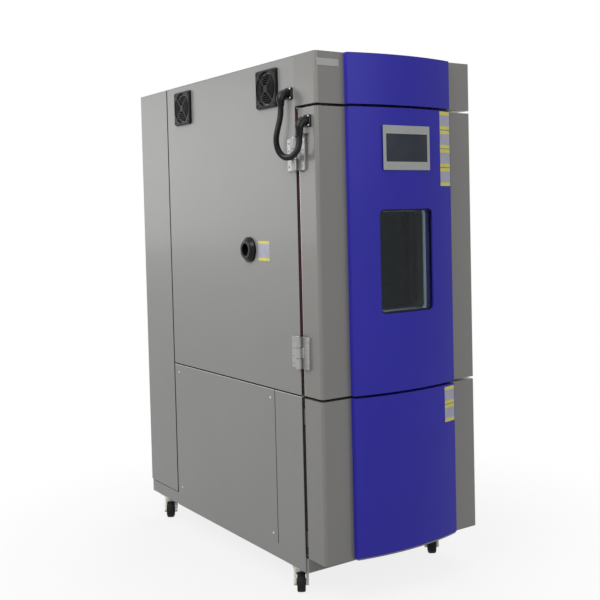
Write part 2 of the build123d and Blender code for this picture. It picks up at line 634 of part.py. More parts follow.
# Cable port: a tube through the wall with an outer flange, and an inner collar
with BuildPart() as cable_port:
    inner, outer = PORT_BORE / 2, PORT_TUBE_RADIUS
    length = SIDE_X - CHAMBER_WIDTH / 2 + PORT_FLANGE_DEPTH
    port_start = (-SIDE_X - PORT_FLANGE_DEPTH, PORT_Y, PORT_MID_Z)
    turned(
        (
            (0, inner), (length, inner), (length, outer), (PORT_FLANGE_DEPTH, outer),
            (PORT_FLANGE_DEPTH, PORT_FLANGE_RADIUS), (PORT_FLANGE_DEPTH - 8, PORT_FLANGE_RADIUS),
            (6, PORT_FLANGE_RADIUS - 10), (0, PORT_FLANGE_RADIUS - 14),
        ),
        port_start, (1, 0, 0), (0, -1, 0), Axis(port_start, (1, 0, 0)),
    )
save(cable_port, "cable_port")


# Casters: a fixed top plate, a swivelling fork and a wheel at each corner
FORK_TOP_Z = CASTER_HEIGHT - CASTER_PLATE_THICKNESS - 3
FORK_X = WHEEL_WIDTH / 2 + FORK_PLAY
KINGPIN_RADIUS = 6
BOLT_INSET = 12
with BuildPart() as caster_plates:
    for x, y in CASTER_PLACES.values():
        half = CASTER_PLATE / 2
        z0 = CASTER_HEIGHT - CASTER_PLATE_THICKNESS
        block(x - half, x + half, y - half, y + half, z0, CASTER_HEIGHT)
        with Locations((x, y, z0)):
            Cylinder(KINGPIN_RADIUS, 14, align=(Align.CENTER, Align.CENTER, Align.MAX))
        bolt = half - BOLT_INSET
        with Locations(*[(x + i * bolt, y + j * bolt, z0) for i in SIDES for j in SIDES]):
            Cylinder(5.5, 5, align=(Align.CENTER, Align.CENTER, Align.MAX))
save(caster_plates, "caster_plates")

for name, (x, y) in CASTER_PLACES.items():
    trail_dir = Vector(cos(radians(CASTER_TURN)), sin(radians(CASTER_TURN)), 0)
    axle_dir = Vector(-trail_dir.Y, trail_dir.X, 0)
    wheel = Vector(x, y, WHEEL_RADIUS) + CASTER_TRAIL * trail_dir
    with BuildPart() as caster_fork:
        z_top = FORK_TOP_Z
        with BuildSketch(Plane(origin=(x, y, z_top), z_dir=(0, 0, -1))) as crown:
            Circle(31)
        extrude(crown.sketch, amount=8)
        edge = FORK_X + FORK_SHEET
        with BuildSketch(Plane(origin=(x, y, z_top - 8), x_dir=trail_dir, z_dir=(0, 0, 1))) as strap:
            with Locations((2, 0)):
                Rectangle(44, 2 * edge)
        extrude(strap.sketch, amount=FORK_SHEET)
        cheek_z = z_top - 8 - WHEEL_RADIUS
        cheek_start = -CASTER_TRAIL
        for side in SIDES:
            cheek_plane = Plane(origin=wheel + side * FORK_X * axle_dir, x_dir=trail_dir, z_dir=-axle_dir)
            with BuildSketch(cheek_plane) as cheek:
                with BuildLine():
                    Polyline((cheek_start - 20, cheek_z), (cheek_start + 24, cheek_z), (15, 0))
                    ThreePointArc((15, 0), (0, -18), (-13, 6))
                    Line((-13, 6), (cheek_start - 20, cheek_z))
                make_face()
            extrude(cheek.sketch, amount=-side * FORK_SHEET)
        rod((x, y, z_top - 8), (x, y, z_top), KINGPIN_RADIUS + RUNNING, Mode.SUBTRACT)
        rod(wheel - (edge + 4) * axle_dir, wheel + (edge + 4) * axle_dir, AXLE_RADIUS)
    save(caster_fork, f"{name}_caster_fork")

    with BuildPart() as caster_wheel:
        half, hub = WHEEL_WIDTH / 2, WHEEL_WIDTH / 2 + FORK_PLAY - 0.5
        bore = AXLE_RADIUS + RUNNING
        turned(
            (
                (bore, -hub), (14, -hub), (14, -half + 6), (WHEEL_RADIUS - 13, -half + 6),
                (WHEEL_RADIUS - 11, -half), (WHEEL_RADIUS - 4, -half), (WHEEL_RADIUS, -half + 5),
                (WHEEL_RADIUS, half - 5), (WHEEL_RADIUS - 4, half), (WHEEL_RADIUS - 11, half),
                (WHEEL_RADIUS - 13, half - 6), (14, half - 6), (14, hub), (bore, hub),
            ),
            wheel, trail_dir, (0, 0, 1), Axis(wheel, axle_dir),
        )
    save(caster_wheel, f"{name}_caster_wheel")

# Hinges: cast leaves with three knuckles on one pin
KNUCKLE = HINGE_HEIGHT / 3
LEAF_Y0 = DOOR_BACK_Y - 4
CABINET_LEAF_Y = SIDE_PANEL_Y + 2


def hinge_leaf(y_near, y_far, z0):
    """The flat of a leaf on the side face, rounded at its free end, with its screw heads."""
    x0, x1 = -SIDE_X, -SIDE_X - HINGE_LEAF_THICKNESS
    z1 = z0 + HINGE_HEIGHT
    block(x0, x1, y_near, y_far, z0, z1)


def hinge_knuckle(z0, z1, y_leaf):
    """One knuckle round the pin, with the web that joins it to its leaf."""
    rod((HINGE_X, HINGE_Y, z0), (HINGE_X, HINGE_Y, z1), HINGE_RADIUS)
    block(-SIDE_X - HINGE_LEAF_THICKNESS, HINGE_X - 2, HINGE_Y, y_leaf, z0, z1)
    rod((HINGE_X, HINGE_Y, z0), (HINGE_X, HINGE_Y, z1), HINGE_PIN_RADIUS + RUNNING, Mode.SUBTRACT)


DOOR_LEAF_END = LEAF_Y0 - HINGE_LEAF
CABINET_LEAF_END = CABINET_LEAF_Y + HINGE_LEAF
WEB = 22
with BuildPart() as door_hinge_leaves:
    for hinge_z in HINGE_ZS:
        z0 = SEAM_Z + hinge_z - HINGE_HEIGHT / 2
        hinge_leaf(DOOR_LEAF_END, LEAF_Y0, z0)
        hinge_knuckle(z0 + KNUCKLE + 0.5, z0 + 2 * KNUCKLE - 0.5, LEAF_Y0 - WEB)
    outer = door_hinge_leaves.edges().filter_by(Axis.X).sort_by(Axis.Y)[:4]
    fillet(outer, 16)
save(door_hinge_leaves, "door_hinge_leaves")

with BuildPart() as cabinet_hinges:
    for hinge_z in HINGE_ZS:
        z0 = SEAM_Z + hinge_z - HINGE_HEIGHT / 2
        hinge_leaf(CABINET_LEAF_Y, CABINET_LEAF_END, z0)
        hinge_knuckle(z0, z0 + KNUCKLE, CABINET_LEAF_Y + WEB)
        hinge_knuckle(z0 + 2 * KNUCKLE, z0 + HINGE_HEIGHT, CABINET_LEAF_Y + WEB)
    outer = cabinet_hinges.edges().filter_by(Axis.X).sort_by(Axis.Y)[-4:]
    fillet(outer, 16)
    for hinge_z in HINGE_ZS:
        z0 = SEAM_Z + hinge_z - HINGE_HEIGHT / 2
        with BuildPart(mode=Mode.PRIVATE) as pin:
            rod((HINGE_X, HINGE_Y, z0 - 3), (HINGE_X, HINGE_Y, z0 + HINGE_HEIGHT), HINGE_PIN_RADIUS)
            rod((HINGE_X, HINGE_Y, z0 - 7), (HINGE_X, HINGE_Y, z0), 9)
            turned(
                ((0, 0), (10, 0), (10, 4), (4, 7), (7, 11), (4, 16), (0, 17)),
                (HINGE_X, HINGE_Y, z0 + HINGE_HEIGHT), (1, 0, 0), (0, -1, 0),
                Axis((HINGE_X, HINGE_Y, 0), (0, 0, 1)),
            )
        add(pin.part)
save(cabinet_hinges, "cabinet_hinges")

# Latch on the free edge: a body and lever on the door, a stud on the cabinet
PIVOT_Y = FRONT_Y + LATCH_SETBACK
PIVOT_Z = SEAM_Z + LATCH_Z
LATCH_PLATE = 4
PIVOT_RADIUS = 7
LEVER_THICKNESS = 10
LEVER_X = SIDE_X + LATCH_PLATE + 1
STUD_PLAY = 3
HOOK_WIDTH = 11
LEVER_WIDTH = 22
LEVER_BOSS_RADIUS = 20
LEVER_END_RADIUS = 13


def side_plan(x):
    """A plane on the right side, seen from outside: across is +Y, up is +Z."""
    return Plane(origin=(x, PIVOT_Y, PIVOT_Z), x_dir=(0, 1, 0), z_dir=(1, 0, 0))


with BuildPart() as latch_body:
    with BuildSketch(side_plan(SIDE_X)) as plate:
        SlotCenterToCenter(70, 42, rotation=90)
    extrude(plate.sketch, amount=LATCH_PLATE)
    rod((SIDE_X, PIVOT_Y, PIVOT_Z), (LEVER_X + LEVER_THICKNESS + 1, PIVOT_Y, PIVOT_Z), PIVOT_RADIUS)
    cap_x = LEVER_X + LEVER_THICKNESS + 1
    rod((cap_x, PIVOT_Y, PIVOT_Z), (cap_x + 3, PIVOT_Y, PIVOT_Z), PIVOT_RADIUS + 5)
save(latch_body, "latch_body")

with BuildPart() as latch_lever:
    arm_y = -(LATCH_STUD_RADIUS + STUD_PLAY + HOOK_WIDTH / 2)
    finger_x = LATCH_REACH + LATCH_STUD_RADIUS + STUD_PLAY + HOOK_WIDTH / 2
    finger_top = LATCH_STUD_RADIUS + 4
    finger_low = arm_y - HOOK_WIDTH / 2
    with BuildSketch(side_plan(LEVER_X)) as lever:
        Circle(LEVER_BOSS_RADIUS)
        with Locations((0, -LEVER_LENGTH / 2)):
            Rectangle(LEVER_WIDTH, LEVER_LENGTH)
        with Locations((0, -LEVER_LENGTH)):
            Circle(LEVER_END_RADIUS)
        with PolarLocations(0, 1, start_angle=-LATCH_SWING):
            with Locations((finger_x / 2, arm_y)):
                Rectangle(finger_x, HOOK_WIDTH)
            with Locations((finger_x, (finger_low + finger_top) / 2)):
                RectangleRounded(HOOK_WIDTH, finger_top - finger_low, 4)
        Circle(PIVOT_RADIUS + RUNNING, mode=Mode.SUBTRACT)
    extrude(lever.sketch, amount=LEVER_THICKNESS)
save(latch_lever, "latch_lever")

with BuildPart() as latch_keeper:
    stud_y = PIVOT_Y + LATCH_REACH
    block(SIDE_X, SIDE_X + LATCH_PLATE, stud_y - 17, stud_y + 30, PIVOT_Z - 26, PIVOT_Z + 26)
    rod((SIDE_X, stud_y, PIVOT_Z), (LEVER_X + LEVER_THICKNESS + 1, stud_y, PIVOT_Z), LATCH_STUD_RADIUS)
save(latch_keeper, "latch_keeper")

# Hose: it hangs in a loop from the cabinet's elbow to the door's
HOSE_ROUTE = [
    (-415, -547.5, 1840), (-415, -547.5, 1804), (-419, -533, 1762), (-423, -519, 1716),
    (-425, -533, 1672), (-425, -577, 1643), (-421, -630, 1646), (-413, -662.5, 1678), (-413, -662.5, 1722),
]
hose_points = [Vector(*point) for point in HOSE_ROUTE]
hose_radii = []
for before, corner, after in zip(hose_points, hose_points[1:], hose_points[2:]):
    turn = radians((corner - before).get_angle(after - corner))
    run = min((corner - before).length, (after - corner).length)
    hose_radii.append(0.45 * run / tan(turn / 2))
print("hose radii", [round(r) for r in hose_radii])
print("hose runs", [round((b - a).length) for a, b in zip(hose_points, hose_points[1:])])
with BuildPart() as hose:
    with BuildLine() as route:
        FilletPolyline(*HOSE_ROUTE, radius=hose_radii)
    with BuildSketch(Plane(origin=HOSE_ROUTE[0], z_dir=(0, 0, -1))) as hose_section:
        Circle(HOSE_RADIUS)
    sweep(hose_section.sketch, path=route.wires()[0])
print("hose length", round(route.wires()[0].length, 1))
print("hose volume ratio", round(hose.part.volume / (route.wires()[0].length * pi * HOSE_RADIUS**2), 4))
save(hose, "hose")


def elbow(end, root_z, side_y):
    """A hose elbow: nut and stub at the wall, a round corner and a leg that meets the hose."""
    corner = (end[0], end[1], root_z)
    rod((-SIDE_X, side_y, root_z), (-SIDE_X - 8, side_y, root_z), ELBOW_RADIUS + 3)
    rod((-SIDE_X, side_y, root_z), corner, ELBOW_RADIUS - 1)
    with Locations(corner):
        Sphere(ELBOW_RADIUS)
    rod(corner, end, ELBOW_RADIUS)


with BuildPart() as cabinet_elbow:
    elbow(HOSE_ROUTE[0], GLAND_Z, GLAND_Y)
    rod((-SIDE_X, GLAND_Y, GLAND_Z), (-SIDE_X + SHEET + 6, GLAND_Y, GLAND_Z), STUB_RADIUS)
save(cabinet_elbow, "cabinet_elbow")

DOOR_GLAND_Y = FRONT_Y + 50
DOOR_GLAND_Z = SEAM_Z + 1008
with BuildPart() as door_elbow:
    elbow(HOSE_ROUTE[-1], DOOR_GLAND_Z, DOOR_GLAND_Y)
save(door_elbow, "door_elbow")


# Fans
BLADE_SHEET = 2
FAN_SHAFT_RADIUS = 3


def fan_rotor(centre, axis, hub_radius, tip_radius, depth, blades, pitch, shaft_radius):
    """A hub with pitched blades round a shaft hole; the centre is the middle of the hub."""
    flat = Plane(origin=centre, z_dir=axis)
    with BuildSketch(flat.offset(-depth / 2)) as hub:
        Circle(hub_radius)
        Circle(shaft_radius + RUNNING, mode=Mode.SUBTRACT)
    extrude(hub.sketch, amount=depth)
    chord = 2 * pi * hub_radius / blades
    for index in range(blades):
        spoke = flat.x_dir.rotate(Axis((0, 0, 0), axis), 360 * index / blades)
        face_dir = flat.z_dir.rotate(Axis((0, 0, 0), spoke), pitch)
        with BuildSketch(Plane(origin=centre, x_dir=spoke, z_dir=face_dir).offset(-BLADE_SHEET / 2)) as blade:
            with BuildLine():
                Polyline(
                    (hub_radius - 3, -chord * 0.35), (tip_radius * 0.72, -chord * 0.75),
                    (tip_radius * 0.97, -chord * 0.6),
                )
                ThreePointArc(
                    (tip_radius * 0.97, -chord * 0.6), (tip_radius, 0), (tip_radius * 0.97, chord * 0.6),
                )
                Polyline((tip_radius * 0.97, chord * 0.6), (hub_radius - 3, chord * 0.35),
                         (hub_radius - 3, -chord * 0.35))
            make_face()
        extrude(blade.sketch, amount=BLADE_SHEET)


# Vent fans in the head: frame inside the cover, rotor, and a guard of rings outside it
FAN_FRAME_X = -SIDE_X + SHEET
FAN_BORE = FAN_SIZE / 2 - 3
GUARD_RING = 2.5
GUARD_PITCH = 8
GUARD_HUB = 15
GUARD_STRUT = 5
with BuildPart() as vent_fan_frames:
    for fan_depth in FAN_DEPTHS:
        y = FRONT_Y + fan_depth
        half = FAN_SIZE / 2
        x_end = FAN_FRAME_X + FAN_FRAME_DEPTH
        block(FAN_FRAME_X, x_end, y - half, y + half, FAN_MID_Z - half, FAN_MID_Z + half)
        bore_side(FAN_FRAME_X, x_end, y, FAN_MID_Z, FAN_BORE)
        rod((x_end - 4, y, FAN_MID_Z), (x_end, y, FAN_MID_Z), 22)
        rod((FAN_FRAME_X + 6, y, FAN_MID_Z), (x_end, y, FAN_MID_Z), FAN_SHAFT_RADIUS)
        block(x_end - 4, x_end, y - FAN_BORE - 1, y + FAN_BORE + 1, FAN_MID_Z - 3, FAN_MID_Z + 3)
        block(x_end - 4, x_end, y - 3, y + 3, FAN_MID_Z - FAN_BORE - 1, FAN_MID_Z + FAN_BORE + 1)
save(vent_fan_frames, "vent_fan_frames")

with BuildPart() as vent_fan_guards:
    for fan_depth in FAN_DEPTHS:
        y = FRONT_Y + fan_depth
        face_plane = Plane(origin=(-SIDE_X, y, FAN_MID_Z), x_dir=(0, -1, 0), z_dir=(-1, 0, 0))
        with BuildPart(mode=Mode.PRIVATE) as guard:
            with BuildSketch(face_plane):
                RectangleRounded(FAN_GUARD, FAN_GUARD, 9)
            extrude(amount=FAN_GUARD_DEPTH)
            chamfer(guard.faces().sort_by(Axis.X)[0].edges(), 4)
            with BuildSketch(face_plane):
                Circle(FAN_GUARD / 2 - 7)
            extrude(amount=FAN_GUARD_DEPTH, mode=Mode.SUBTRACT)
            radius = FAN_GUARD / 2 - 7 - GUARD_PITCH
            with BuildSketch(face_plane.offset(FAN_GUARD_DEPTH - 3)):
                while radius > GUARD_HUB + GUARD_PITCH / 2:
                    Circle(radius)
                    Circle(radius - GUARD_RING, mode=Mode.SUBTRACT)
                    radius -= GUARD_PITCH
                Circle(GUARD_HUB)
                with PolarLocations((FAN_GUARD / 2 - 7) / 2, 4, start_angle=45):
                    Rectangle(FAN_GUARD / 2 - 6, GUARD_STRUT)
            extrude(amount=3)
        add(guard.part)
save(vent_fan_guards, "vent_fan_guards")

for word, fan_depth in zip(("front", "rear"), FAN_DEPTHS):
    with BuildPart() as vent_rotor:
        centre = (FAN_FRAME_X + FAN_FRAME_DEPTH / 2 - 2, FRONT_Y + fan_depth, FAN_MID_Z)
        fan_rotor(centre, (1, 0, 0), 19, FAN_BORE - 2, FAN_FRAME_DEPTH - 14, 7, 32, FAN_SHAFT_RADIUS)
    save(vent_rotor, f"{word}_vent_rotor")

# Air circuit behind the baffle: blower, heater, evaporator
SLOT_LENGTH = 80
SLOT_HEIGHT = 14
BLOWER_RADIUS = 110
BLOWER_DEPTH = 55
BLOWER_Y = BAFFLE_Y + 18
BLOWER_BLADES = 24
BAFFLE_FLANGE = 15
INTAKE_RADIUS = 85
with BuildPart() as duct_baffle:
    x = CHAMBER_WIDTH / 2
    block(-x, x, BAFFLE_Y, BAFFLE_Y + BAFFLE_FLANGE, FLOOR_Z, CEILING_Z)
    block(-x + SHEET, x - SHEET, BAFFLE_Y + SHEET, BAFFLE_Y + BAFFLE_FLANGE, FLOOR_Z, CEILING_Z, Mode.SUBTRACT)
    with BuildSketch(Plane(origin=(0, BAFFLE_Y + SHEET, 0), x_dir=(1, 0, 0), z_dir=(0, -1, 0))):
        for row_z in (CEILING_Z - 40, CEILING_Z - 70, FLOOR_Z + 40, FLOOR_Z + 70):
            with Locations((0, row_z)):
                with GridLocations(SLOT_LENGTH + 15, 1, 5, 1):
                    Rectangle(SLOT_LENGTH, SLOT_HEIGHT)
        for step in range(-4, 5):
            level = step * 18
            reach = (INTAKE_RADIUS**2 - level**2) ** 0.5
            with Locations((0, BLOWER_Z + level)):
                Rectangle(2 * reach, 9)
    extrude(amount=SHEET, mode=Mode.SUBTRACT)
save(duct_baffle, "duct_baffle")

MOTOR_RADIUS = 62
MOTOR_LENGTH = 130
MOTOR_PLATE = 6
with BuildPart() as blower_wheel:
    back = BLOWER_Y + BLOWER_DEPTH
    rod((0, back - 3, BLOWER_Z), (0, back, BLOWER_Z), BLOWER_RADIUS)
    rod((0, BLOWER_Y, BLOWER_Z), (0, BLOWER_Y + 3, BLOWER_Z), BLOWER_RADIUS)
    rod((0, BLOWER_Y, BLOWER_Z), (0, BLOWER_Y + 3, BLOWER_Z), BLOWER_RADIUS - 18, Mode.SUBTRACT)
    rod((0, back - 30, BLOWER_Z), (0, back, BLOWER_Z), 18)
    rod((0, back, BLOWER_Z), (0, INSULATION_BACK_Y + 40, BLOWER_Z), SHAFT_RADIUS)
    with BuildSketch(Plane(origin=(0, back, BLOWER_Z), z_dir=(0, -1, 0))):
        with PolarLocations(BLOWER_RADIUS - 10, BLOWER_BLADES):
            with Locations(Location((0, 0), 25)):
                Rectangle(19, 1.5)
    extrude(amount=BLOWER_DEPTH)
save(blower_wheel, "blower_wheel")

with BuildPart() as blower_motor:
    plate = MOTOR_RADIUS + 12
    block(-plate, plate, INSULATION_BACK_Y, INSULATION_BACK_Y + MOTOR_PLATE, BLOWER_Z - plate, BLOWER_Z + plate)
    motor_end = INSULATION_BACK_Y + MOTOR_LENGTH
    rod((0, INSULATION_BACK_Y, BLOWER_Z), (0, motor_end, BLOWER_Z), MOTOR_RADIUS)
    chamfer(blower_motor.faces().sort_by(Axis.Y)[-1].edges(), 6)
    bore_end = (0, INSULATION_BACK_Y + 42, BLOWER_Z)
    rod((0, INSULATION_BACK_Y, BLOWER_Z), bore_end, SHAFT_RADIUS + RUNNING, Mode.SUBTRACT)
save(blower_motor, "blower_motor")

EVAPORATOR_X = 210
EVAPORATOR_HEIGHT = 200
EVAPORATOR_DEPTH = 90
EVAPORATOR_LEG = 20
FIN_PITCH = 14
FIN_SHEET = 1


def finned_block(x, y0, y1, z0, z1, leg):
    """A coil block: a solid core of tubes with upright fins, and end plates that stand on legs."""
    block(-x, x, y0 + 20, y1 - 20, z0 + leg, z1)
    for side in SIDES:
        block(side * x, side * (x + 3), y0, y1, z0, z1)
    count = int(2 * x / FIN_PITCH)
    for index in range(1, count):
        fin_x = -x + index * 2 * x / count
        block(fin_x, fin_x + FIN_SHEET, y0, y1, z0 + leg, z1)


with BuildPart() as evaporator:
    finned_block(
        EVAPORATOR_X, LINER_BACK_Y - 20 - EVAPORATOR_DEPTH, LINER_BACK_Y - 20,
        FLOOR_Z, FLOOR_Z + EVAPORATOR_HEIGHT, EVAPORATOR_LEG,
    )
save(evaporator, "evaporator")

HEATER_ROD = 4
HEATER_X = 190
HEATER_PITCH = 36
HEATER_Y = LINER_BACK_Y - 60
HEATER_Z = FLOOR_Z + EVAPORATOR_HEIGHT + 30
with BuildPart() as heater:
    rows = [HEATER_Z + HEATER_PITCH * row for row in range(4)]
    stops = [(-HEATER_X, LINER_BACK_Y, rows[0]), (-HEATER_X, HEATER_Y, rows[0])]
    for row, level in enumerate(rows):
        near_x = -HEATER_X if row % 2 == 0 else HEATER_X
        if row > 0:
            stops.append((near_x, HEATER_Y, level))
        stops.append((-near_x, HEATER_Y, level))
    stops.append((-HEATER_X, LINER_BACK_Y, rows[-1]))
    with BuildLine() as coil:
        FilletPolyline(*stops, radius=15)
    with BuildSketch(Plane(origin=stops[0], z_dir=(0, -1, 0))) as heater_section:
        Circle(HEATER_ROD)
    sweep(heater_section.sketch, path=coil.wires()[0])
save(heater, "heater")

# Shelf racks on the side walls and slotted shelves on their rails
RACK_SHEET = 2
RACK_UPRIGHT = 25
RACK_DEPTH = 10
SHELF_SHEET = 2
SHELF_LIP = 18
SHELF_PLAY = 3
RAIL_WIDTH = 22
RACK_END = 60
RAIL_OVERHANG = 80
RACK_YS = (CABINET_Y + 110, BAFFLE_Y - 110)
SHELF_ZS = [FLOOR_Z + SHELF_FIRST + SHELF_PITCH * index for index in range(SHELF_COUNT)]
rack_solids = []
for side in SIDES:
    wall_x = side * CHAMBER_WIDTH / 2
    inner_x = wall_x - side * RACK_DEPTH
    for y in RACK_YS:
        with BuildPart() as upright:
            block(wall_x, inner_x, y - RACK_UPRIGHT / 2, y + RACK_UPRIGHT / 2, FLOOR_Z + RACK_END, CEILING_Z - RACK_END)
        rack_solids.append(upright.part.solid())
    for shelf_z in SHELF_ZS:
        y0, y1 = RACK_YS[0] - RAIL_OVERHANG, RACK_YS[1] + RAIL_OVERHANG
        with BuildPart() as rail:
            block(inner_x, inner_x - side * RACK_SHEET, y0, y1, shelf_z - RAIL_WIDTH, shelf_z)
            block(inner_x, inner_x - side * RAIL_WIDTH, y0, y1, shelf_z - RACK_SHEET, shelf_z)
        rack_solids.append(rail.part.solid())
save_group(rack_solids, "shelf_racks")

SHELF_X = CHAMBER_WIDTH / 2 - RACK_DEPTH - SHELF_PLAY
SHELF_Y0 = RACK_YS[0] - RAIL_OVERHANG + 2
SHELF_Y1 = RACK_YS[1] + RAIL_OVERHANG - 2
with BuildPart() as shelves:
    for shelf_z in SHELF_ZS:
        z0, z1 = shelf_z, shelf_z + SHELF_LIP
        block(-SHELF_X, SHELF_X, SHELF_Y0, SHELF_Y1, z0, z1)
        block(-SHELF_X + SHELF_SHEET, SHELF_X - SHELF_SHEET, SHELF_Y0 + SHELF_SHEET, SHELF_Y1 - SHELF_SHEET,
              z0, z1 - SHELF_SHEET, Mode.SUBTRACT)
        with BuildSketch(Plane.XY.offset(z1 - SHELF_SHEET)) as slots:
            with Locations((0, (SHELF_Y0 + SHELF_Y1) / 2)):
                with GridLocations(26, (SHELF_Y1 - SHELF_Y0) / 3, 15, 3):
                    Rectangle(12, (SHELF_Y1 - SHELF_Y0) / 3 - 24)
        extrude(slots.sketch, amount=SHELF_SHEET, mode=Mode.SUBTRACT)
save(shelves, "shelves")

# Machine room: two compressors, the condenser with its fan, and the control plate
COMPRESSOR_RADIUS = 88
COMPRESSOR_HEIGHT = 330
COMPRESSOR_X = 140
COMPRESSOR_Y = FRONT_Y + 1010
with BuildPart() as compressors:
    for side in SIDES:
        x = side * COMPRESSOR_X
        feet = COMPRESSOR_RADIUS + 14
        r, h, z = COMPRESSOR_RADIUS, COMPRESSOR_HEIGHT, PAN_Z + 24
        block(x - feet, x + feet, COMPRESSOR_Y - feet, COMPRESSOR_Y + feet, PAN_Z + 20, z)
        with Locations(*[(x + i * (feet - 15), COMPRESSOR_Y + j * (feet - 15), PAN_Z)
                         for i in SIDES for j in SIDES]):
            Cylinder(12, 20, align=(Align.CENTER, Align.CENTER, Align.MIN))
        turned(
            ((0, z), (r * 0.8, z), (r, z + 25), (r, z + h - 55), (r * 0.9, z + h - 22), (r * 0.6, z + h - 5),
             (0, z + h)),
            (x, COMPRESSOR_Y, 0), (1, 0, 0), (0, -1, 0), Axis((x, COMPRESSOR_Y, 0), (0, 0, 1)),
        )
save(compressors, "compressors")

CONDENSER_X = 250
CONDENSER_HEIGHT = 400
CONDENSER_DEPTH = 70
CONDENSER_LEG = 30
CONDENSER_Y1 = FRAME_BACK_Y - 40
CONDENSER_Y0 = CONDENSER_Y1 - CONDENSER_DEPTH
with BuildPart() as condenser:
    finned_block(CONDENSER_X, CONDENSER_Y0, CONDENSER_Y1, PAN_Z, PAN_Z + CONDENSER_HEIGHT, CONDENSER_LEG)
save(condenser, "condenser")

SHROUD_DEPTH = 70
CONDENSER_FAN_RADIUS = 150
CONDENSER_FAN_Z = PAN_Z + 215
with BuildPart() as condenser_shroud:
    y0 = CONDENSER_Y0 - SHROUD_DEPTH
    x = CONDENSER_X + 3
    block(-x, x, y0, CONDENSER_Y0, PAN_Z, PAN_Z + CONDENSER_HEIGHT)
    block(-x + 2, x - 2, y0 + 2, CONDENSER_Y0, PAN_Z + 2, PAN_Z + CONDENSER_HEIGHT - 2, Mode.SUBTRACT)
    rod((0, y0, CONDENSER_FAN_Z), (0, y0 + 2, CONDENSER_FAN_Z), CONDENSER_FAN_RADIUS, Mode.SUBTRACT)
    block(-CONDENSER_FAN_RADIUS - 6, CONDENSER_FAN_RADIUS + 6, y0 - 6, y0, CONDENSER_FAN_Z - 12, CONDENSER_FAN_Z + 12)
    rod((0, y0 - 60, CONDENSER_FAN_Z), (0, y0, CONDENSER_FAN_Z), 38)
    rod((0, y0, CONDENSER_FAN_Z), (0, y0 + 44, CONDENSER_FAN_Z), 6)
save(condenser_shroud, "condenser_shroud")

with BuildPart() as condenser_rotor:
    centre = (0, CONDENSER_Y0 - SHROUD_DEPTH + 27, CONDENSER_FAN_Z)
    fan_rotor(centre, (0, 1, 0), 42, CONDENSER_FAN_RADIUS - 6, 30, 5, 26, 6)
save(condenser_rotor, "condenser_rotor")

CONTROL_Y = REAR_SEAM_Y + TUBE / 2
CONTROL_X = POST_MID_X
CONTROL_Z0 = SEAM_Z + TUBE / 2 + 40
CONTROL_Z1 = HEAD_Z - TUBE / 2 - 40
DIN_RAIL_ZS = [CONTROL_Z0 + 140 + 200 * row for row in range(4)]
MODULE_WIDTHS = (45, 45, 45, 72, 22, 22, 90, 36, 36)
MODULE_GAP = 6
DIN_RAIL_DEPTH = 7
with BuildPart() as control_gear:
    block(-CONTROL_X, CONTROL_X, CONTROL_Y, CONTROL_Y + 2, CONTROL_Z0, CONTROL_Z1)
    front = CONTROL_Y + 2 + DIN_RAIL_DEPTH
    for row, rail_z in enumerate(DIN_RAIL_ZS):
        block(-250, 250, CONTROL_Y + 2, front, rail_z - 17, rail_z + 17)
        x = -240
        for width in MODULE_WIDTHS[row:] + MODULE_WIDTHS[:row]:
            tall = 80 if width > 40 else 96
            block(x, x + width, front, front + 61, rail_z - tall / 2, rail_z + tall / 2)
            block(x + 2, x + width - 2, front + 61, front + 73, rail_z - tall / 4, rail_z + tall / 4)
            x += width + MODULE_GAP
save(control_gear, "control_gear")
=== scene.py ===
import json
import math

import bmesh
import bpy
from mathutils import Matrix, Vector

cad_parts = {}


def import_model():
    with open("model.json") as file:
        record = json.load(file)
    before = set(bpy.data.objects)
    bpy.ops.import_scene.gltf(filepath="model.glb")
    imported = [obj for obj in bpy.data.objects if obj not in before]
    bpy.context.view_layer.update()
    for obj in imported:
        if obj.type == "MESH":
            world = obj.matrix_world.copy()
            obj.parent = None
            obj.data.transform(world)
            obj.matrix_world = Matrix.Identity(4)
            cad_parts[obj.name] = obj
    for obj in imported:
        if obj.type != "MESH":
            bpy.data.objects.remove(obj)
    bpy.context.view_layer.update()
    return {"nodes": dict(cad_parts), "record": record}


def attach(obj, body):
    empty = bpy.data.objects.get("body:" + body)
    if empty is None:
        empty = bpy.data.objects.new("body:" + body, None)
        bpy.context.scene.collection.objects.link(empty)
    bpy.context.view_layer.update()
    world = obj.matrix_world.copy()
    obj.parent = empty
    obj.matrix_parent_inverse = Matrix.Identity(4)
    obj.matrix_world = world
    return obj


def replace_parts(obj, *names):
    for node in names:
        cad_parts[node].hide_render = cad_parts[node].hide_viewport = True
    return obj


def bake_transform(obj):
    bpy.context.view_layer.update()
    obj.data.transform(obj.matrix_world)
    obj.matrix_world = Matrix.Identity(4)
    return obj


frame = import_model()
scene = bpy.context.scene
nodes = frame["nodes"]


# Materials

NOISE_LOW = 0.3
NOISE_HIGH = 0.7
COAT_ROUGHNESS = 0.12


def new_material(name):
    """A node material and its shader."""
    material = bpy.data.materials.new(name)
    material.use_nodes = True
    return material, material.node_tree, material.node_tree.nodes["Principled BSDF"]


def object_space(tree, scale=(1, 1, 1)):
    """The piece's own coordinates, stretched, so that every pattern stays on the piece."""
    place = tree.nodes.new("ShaderNodeTexCoord")
    mapping = tree.nodes.new("ShaderNodeMapping")
    mapping.inputs["Scale"].default_value = scale
    tree.links.new(place.outputs["Object"], mapping.inputs["Vector"])
    return mapping.outputs["Vector"]


def noise(tree, vector, scale, detail=4.0):
    """A noise field."""
    node = tree.nodes.new("ShaderNodeTexNoise")
    node.inputs["Scale"].default_value = scale
    node.inputs["Detail"].default_value = detail
    node.inputs["Roughness"].default_value = 0.55
    tree.links.new(vector, node.inputs["Vector"])
    return node.outputs["Fac"]


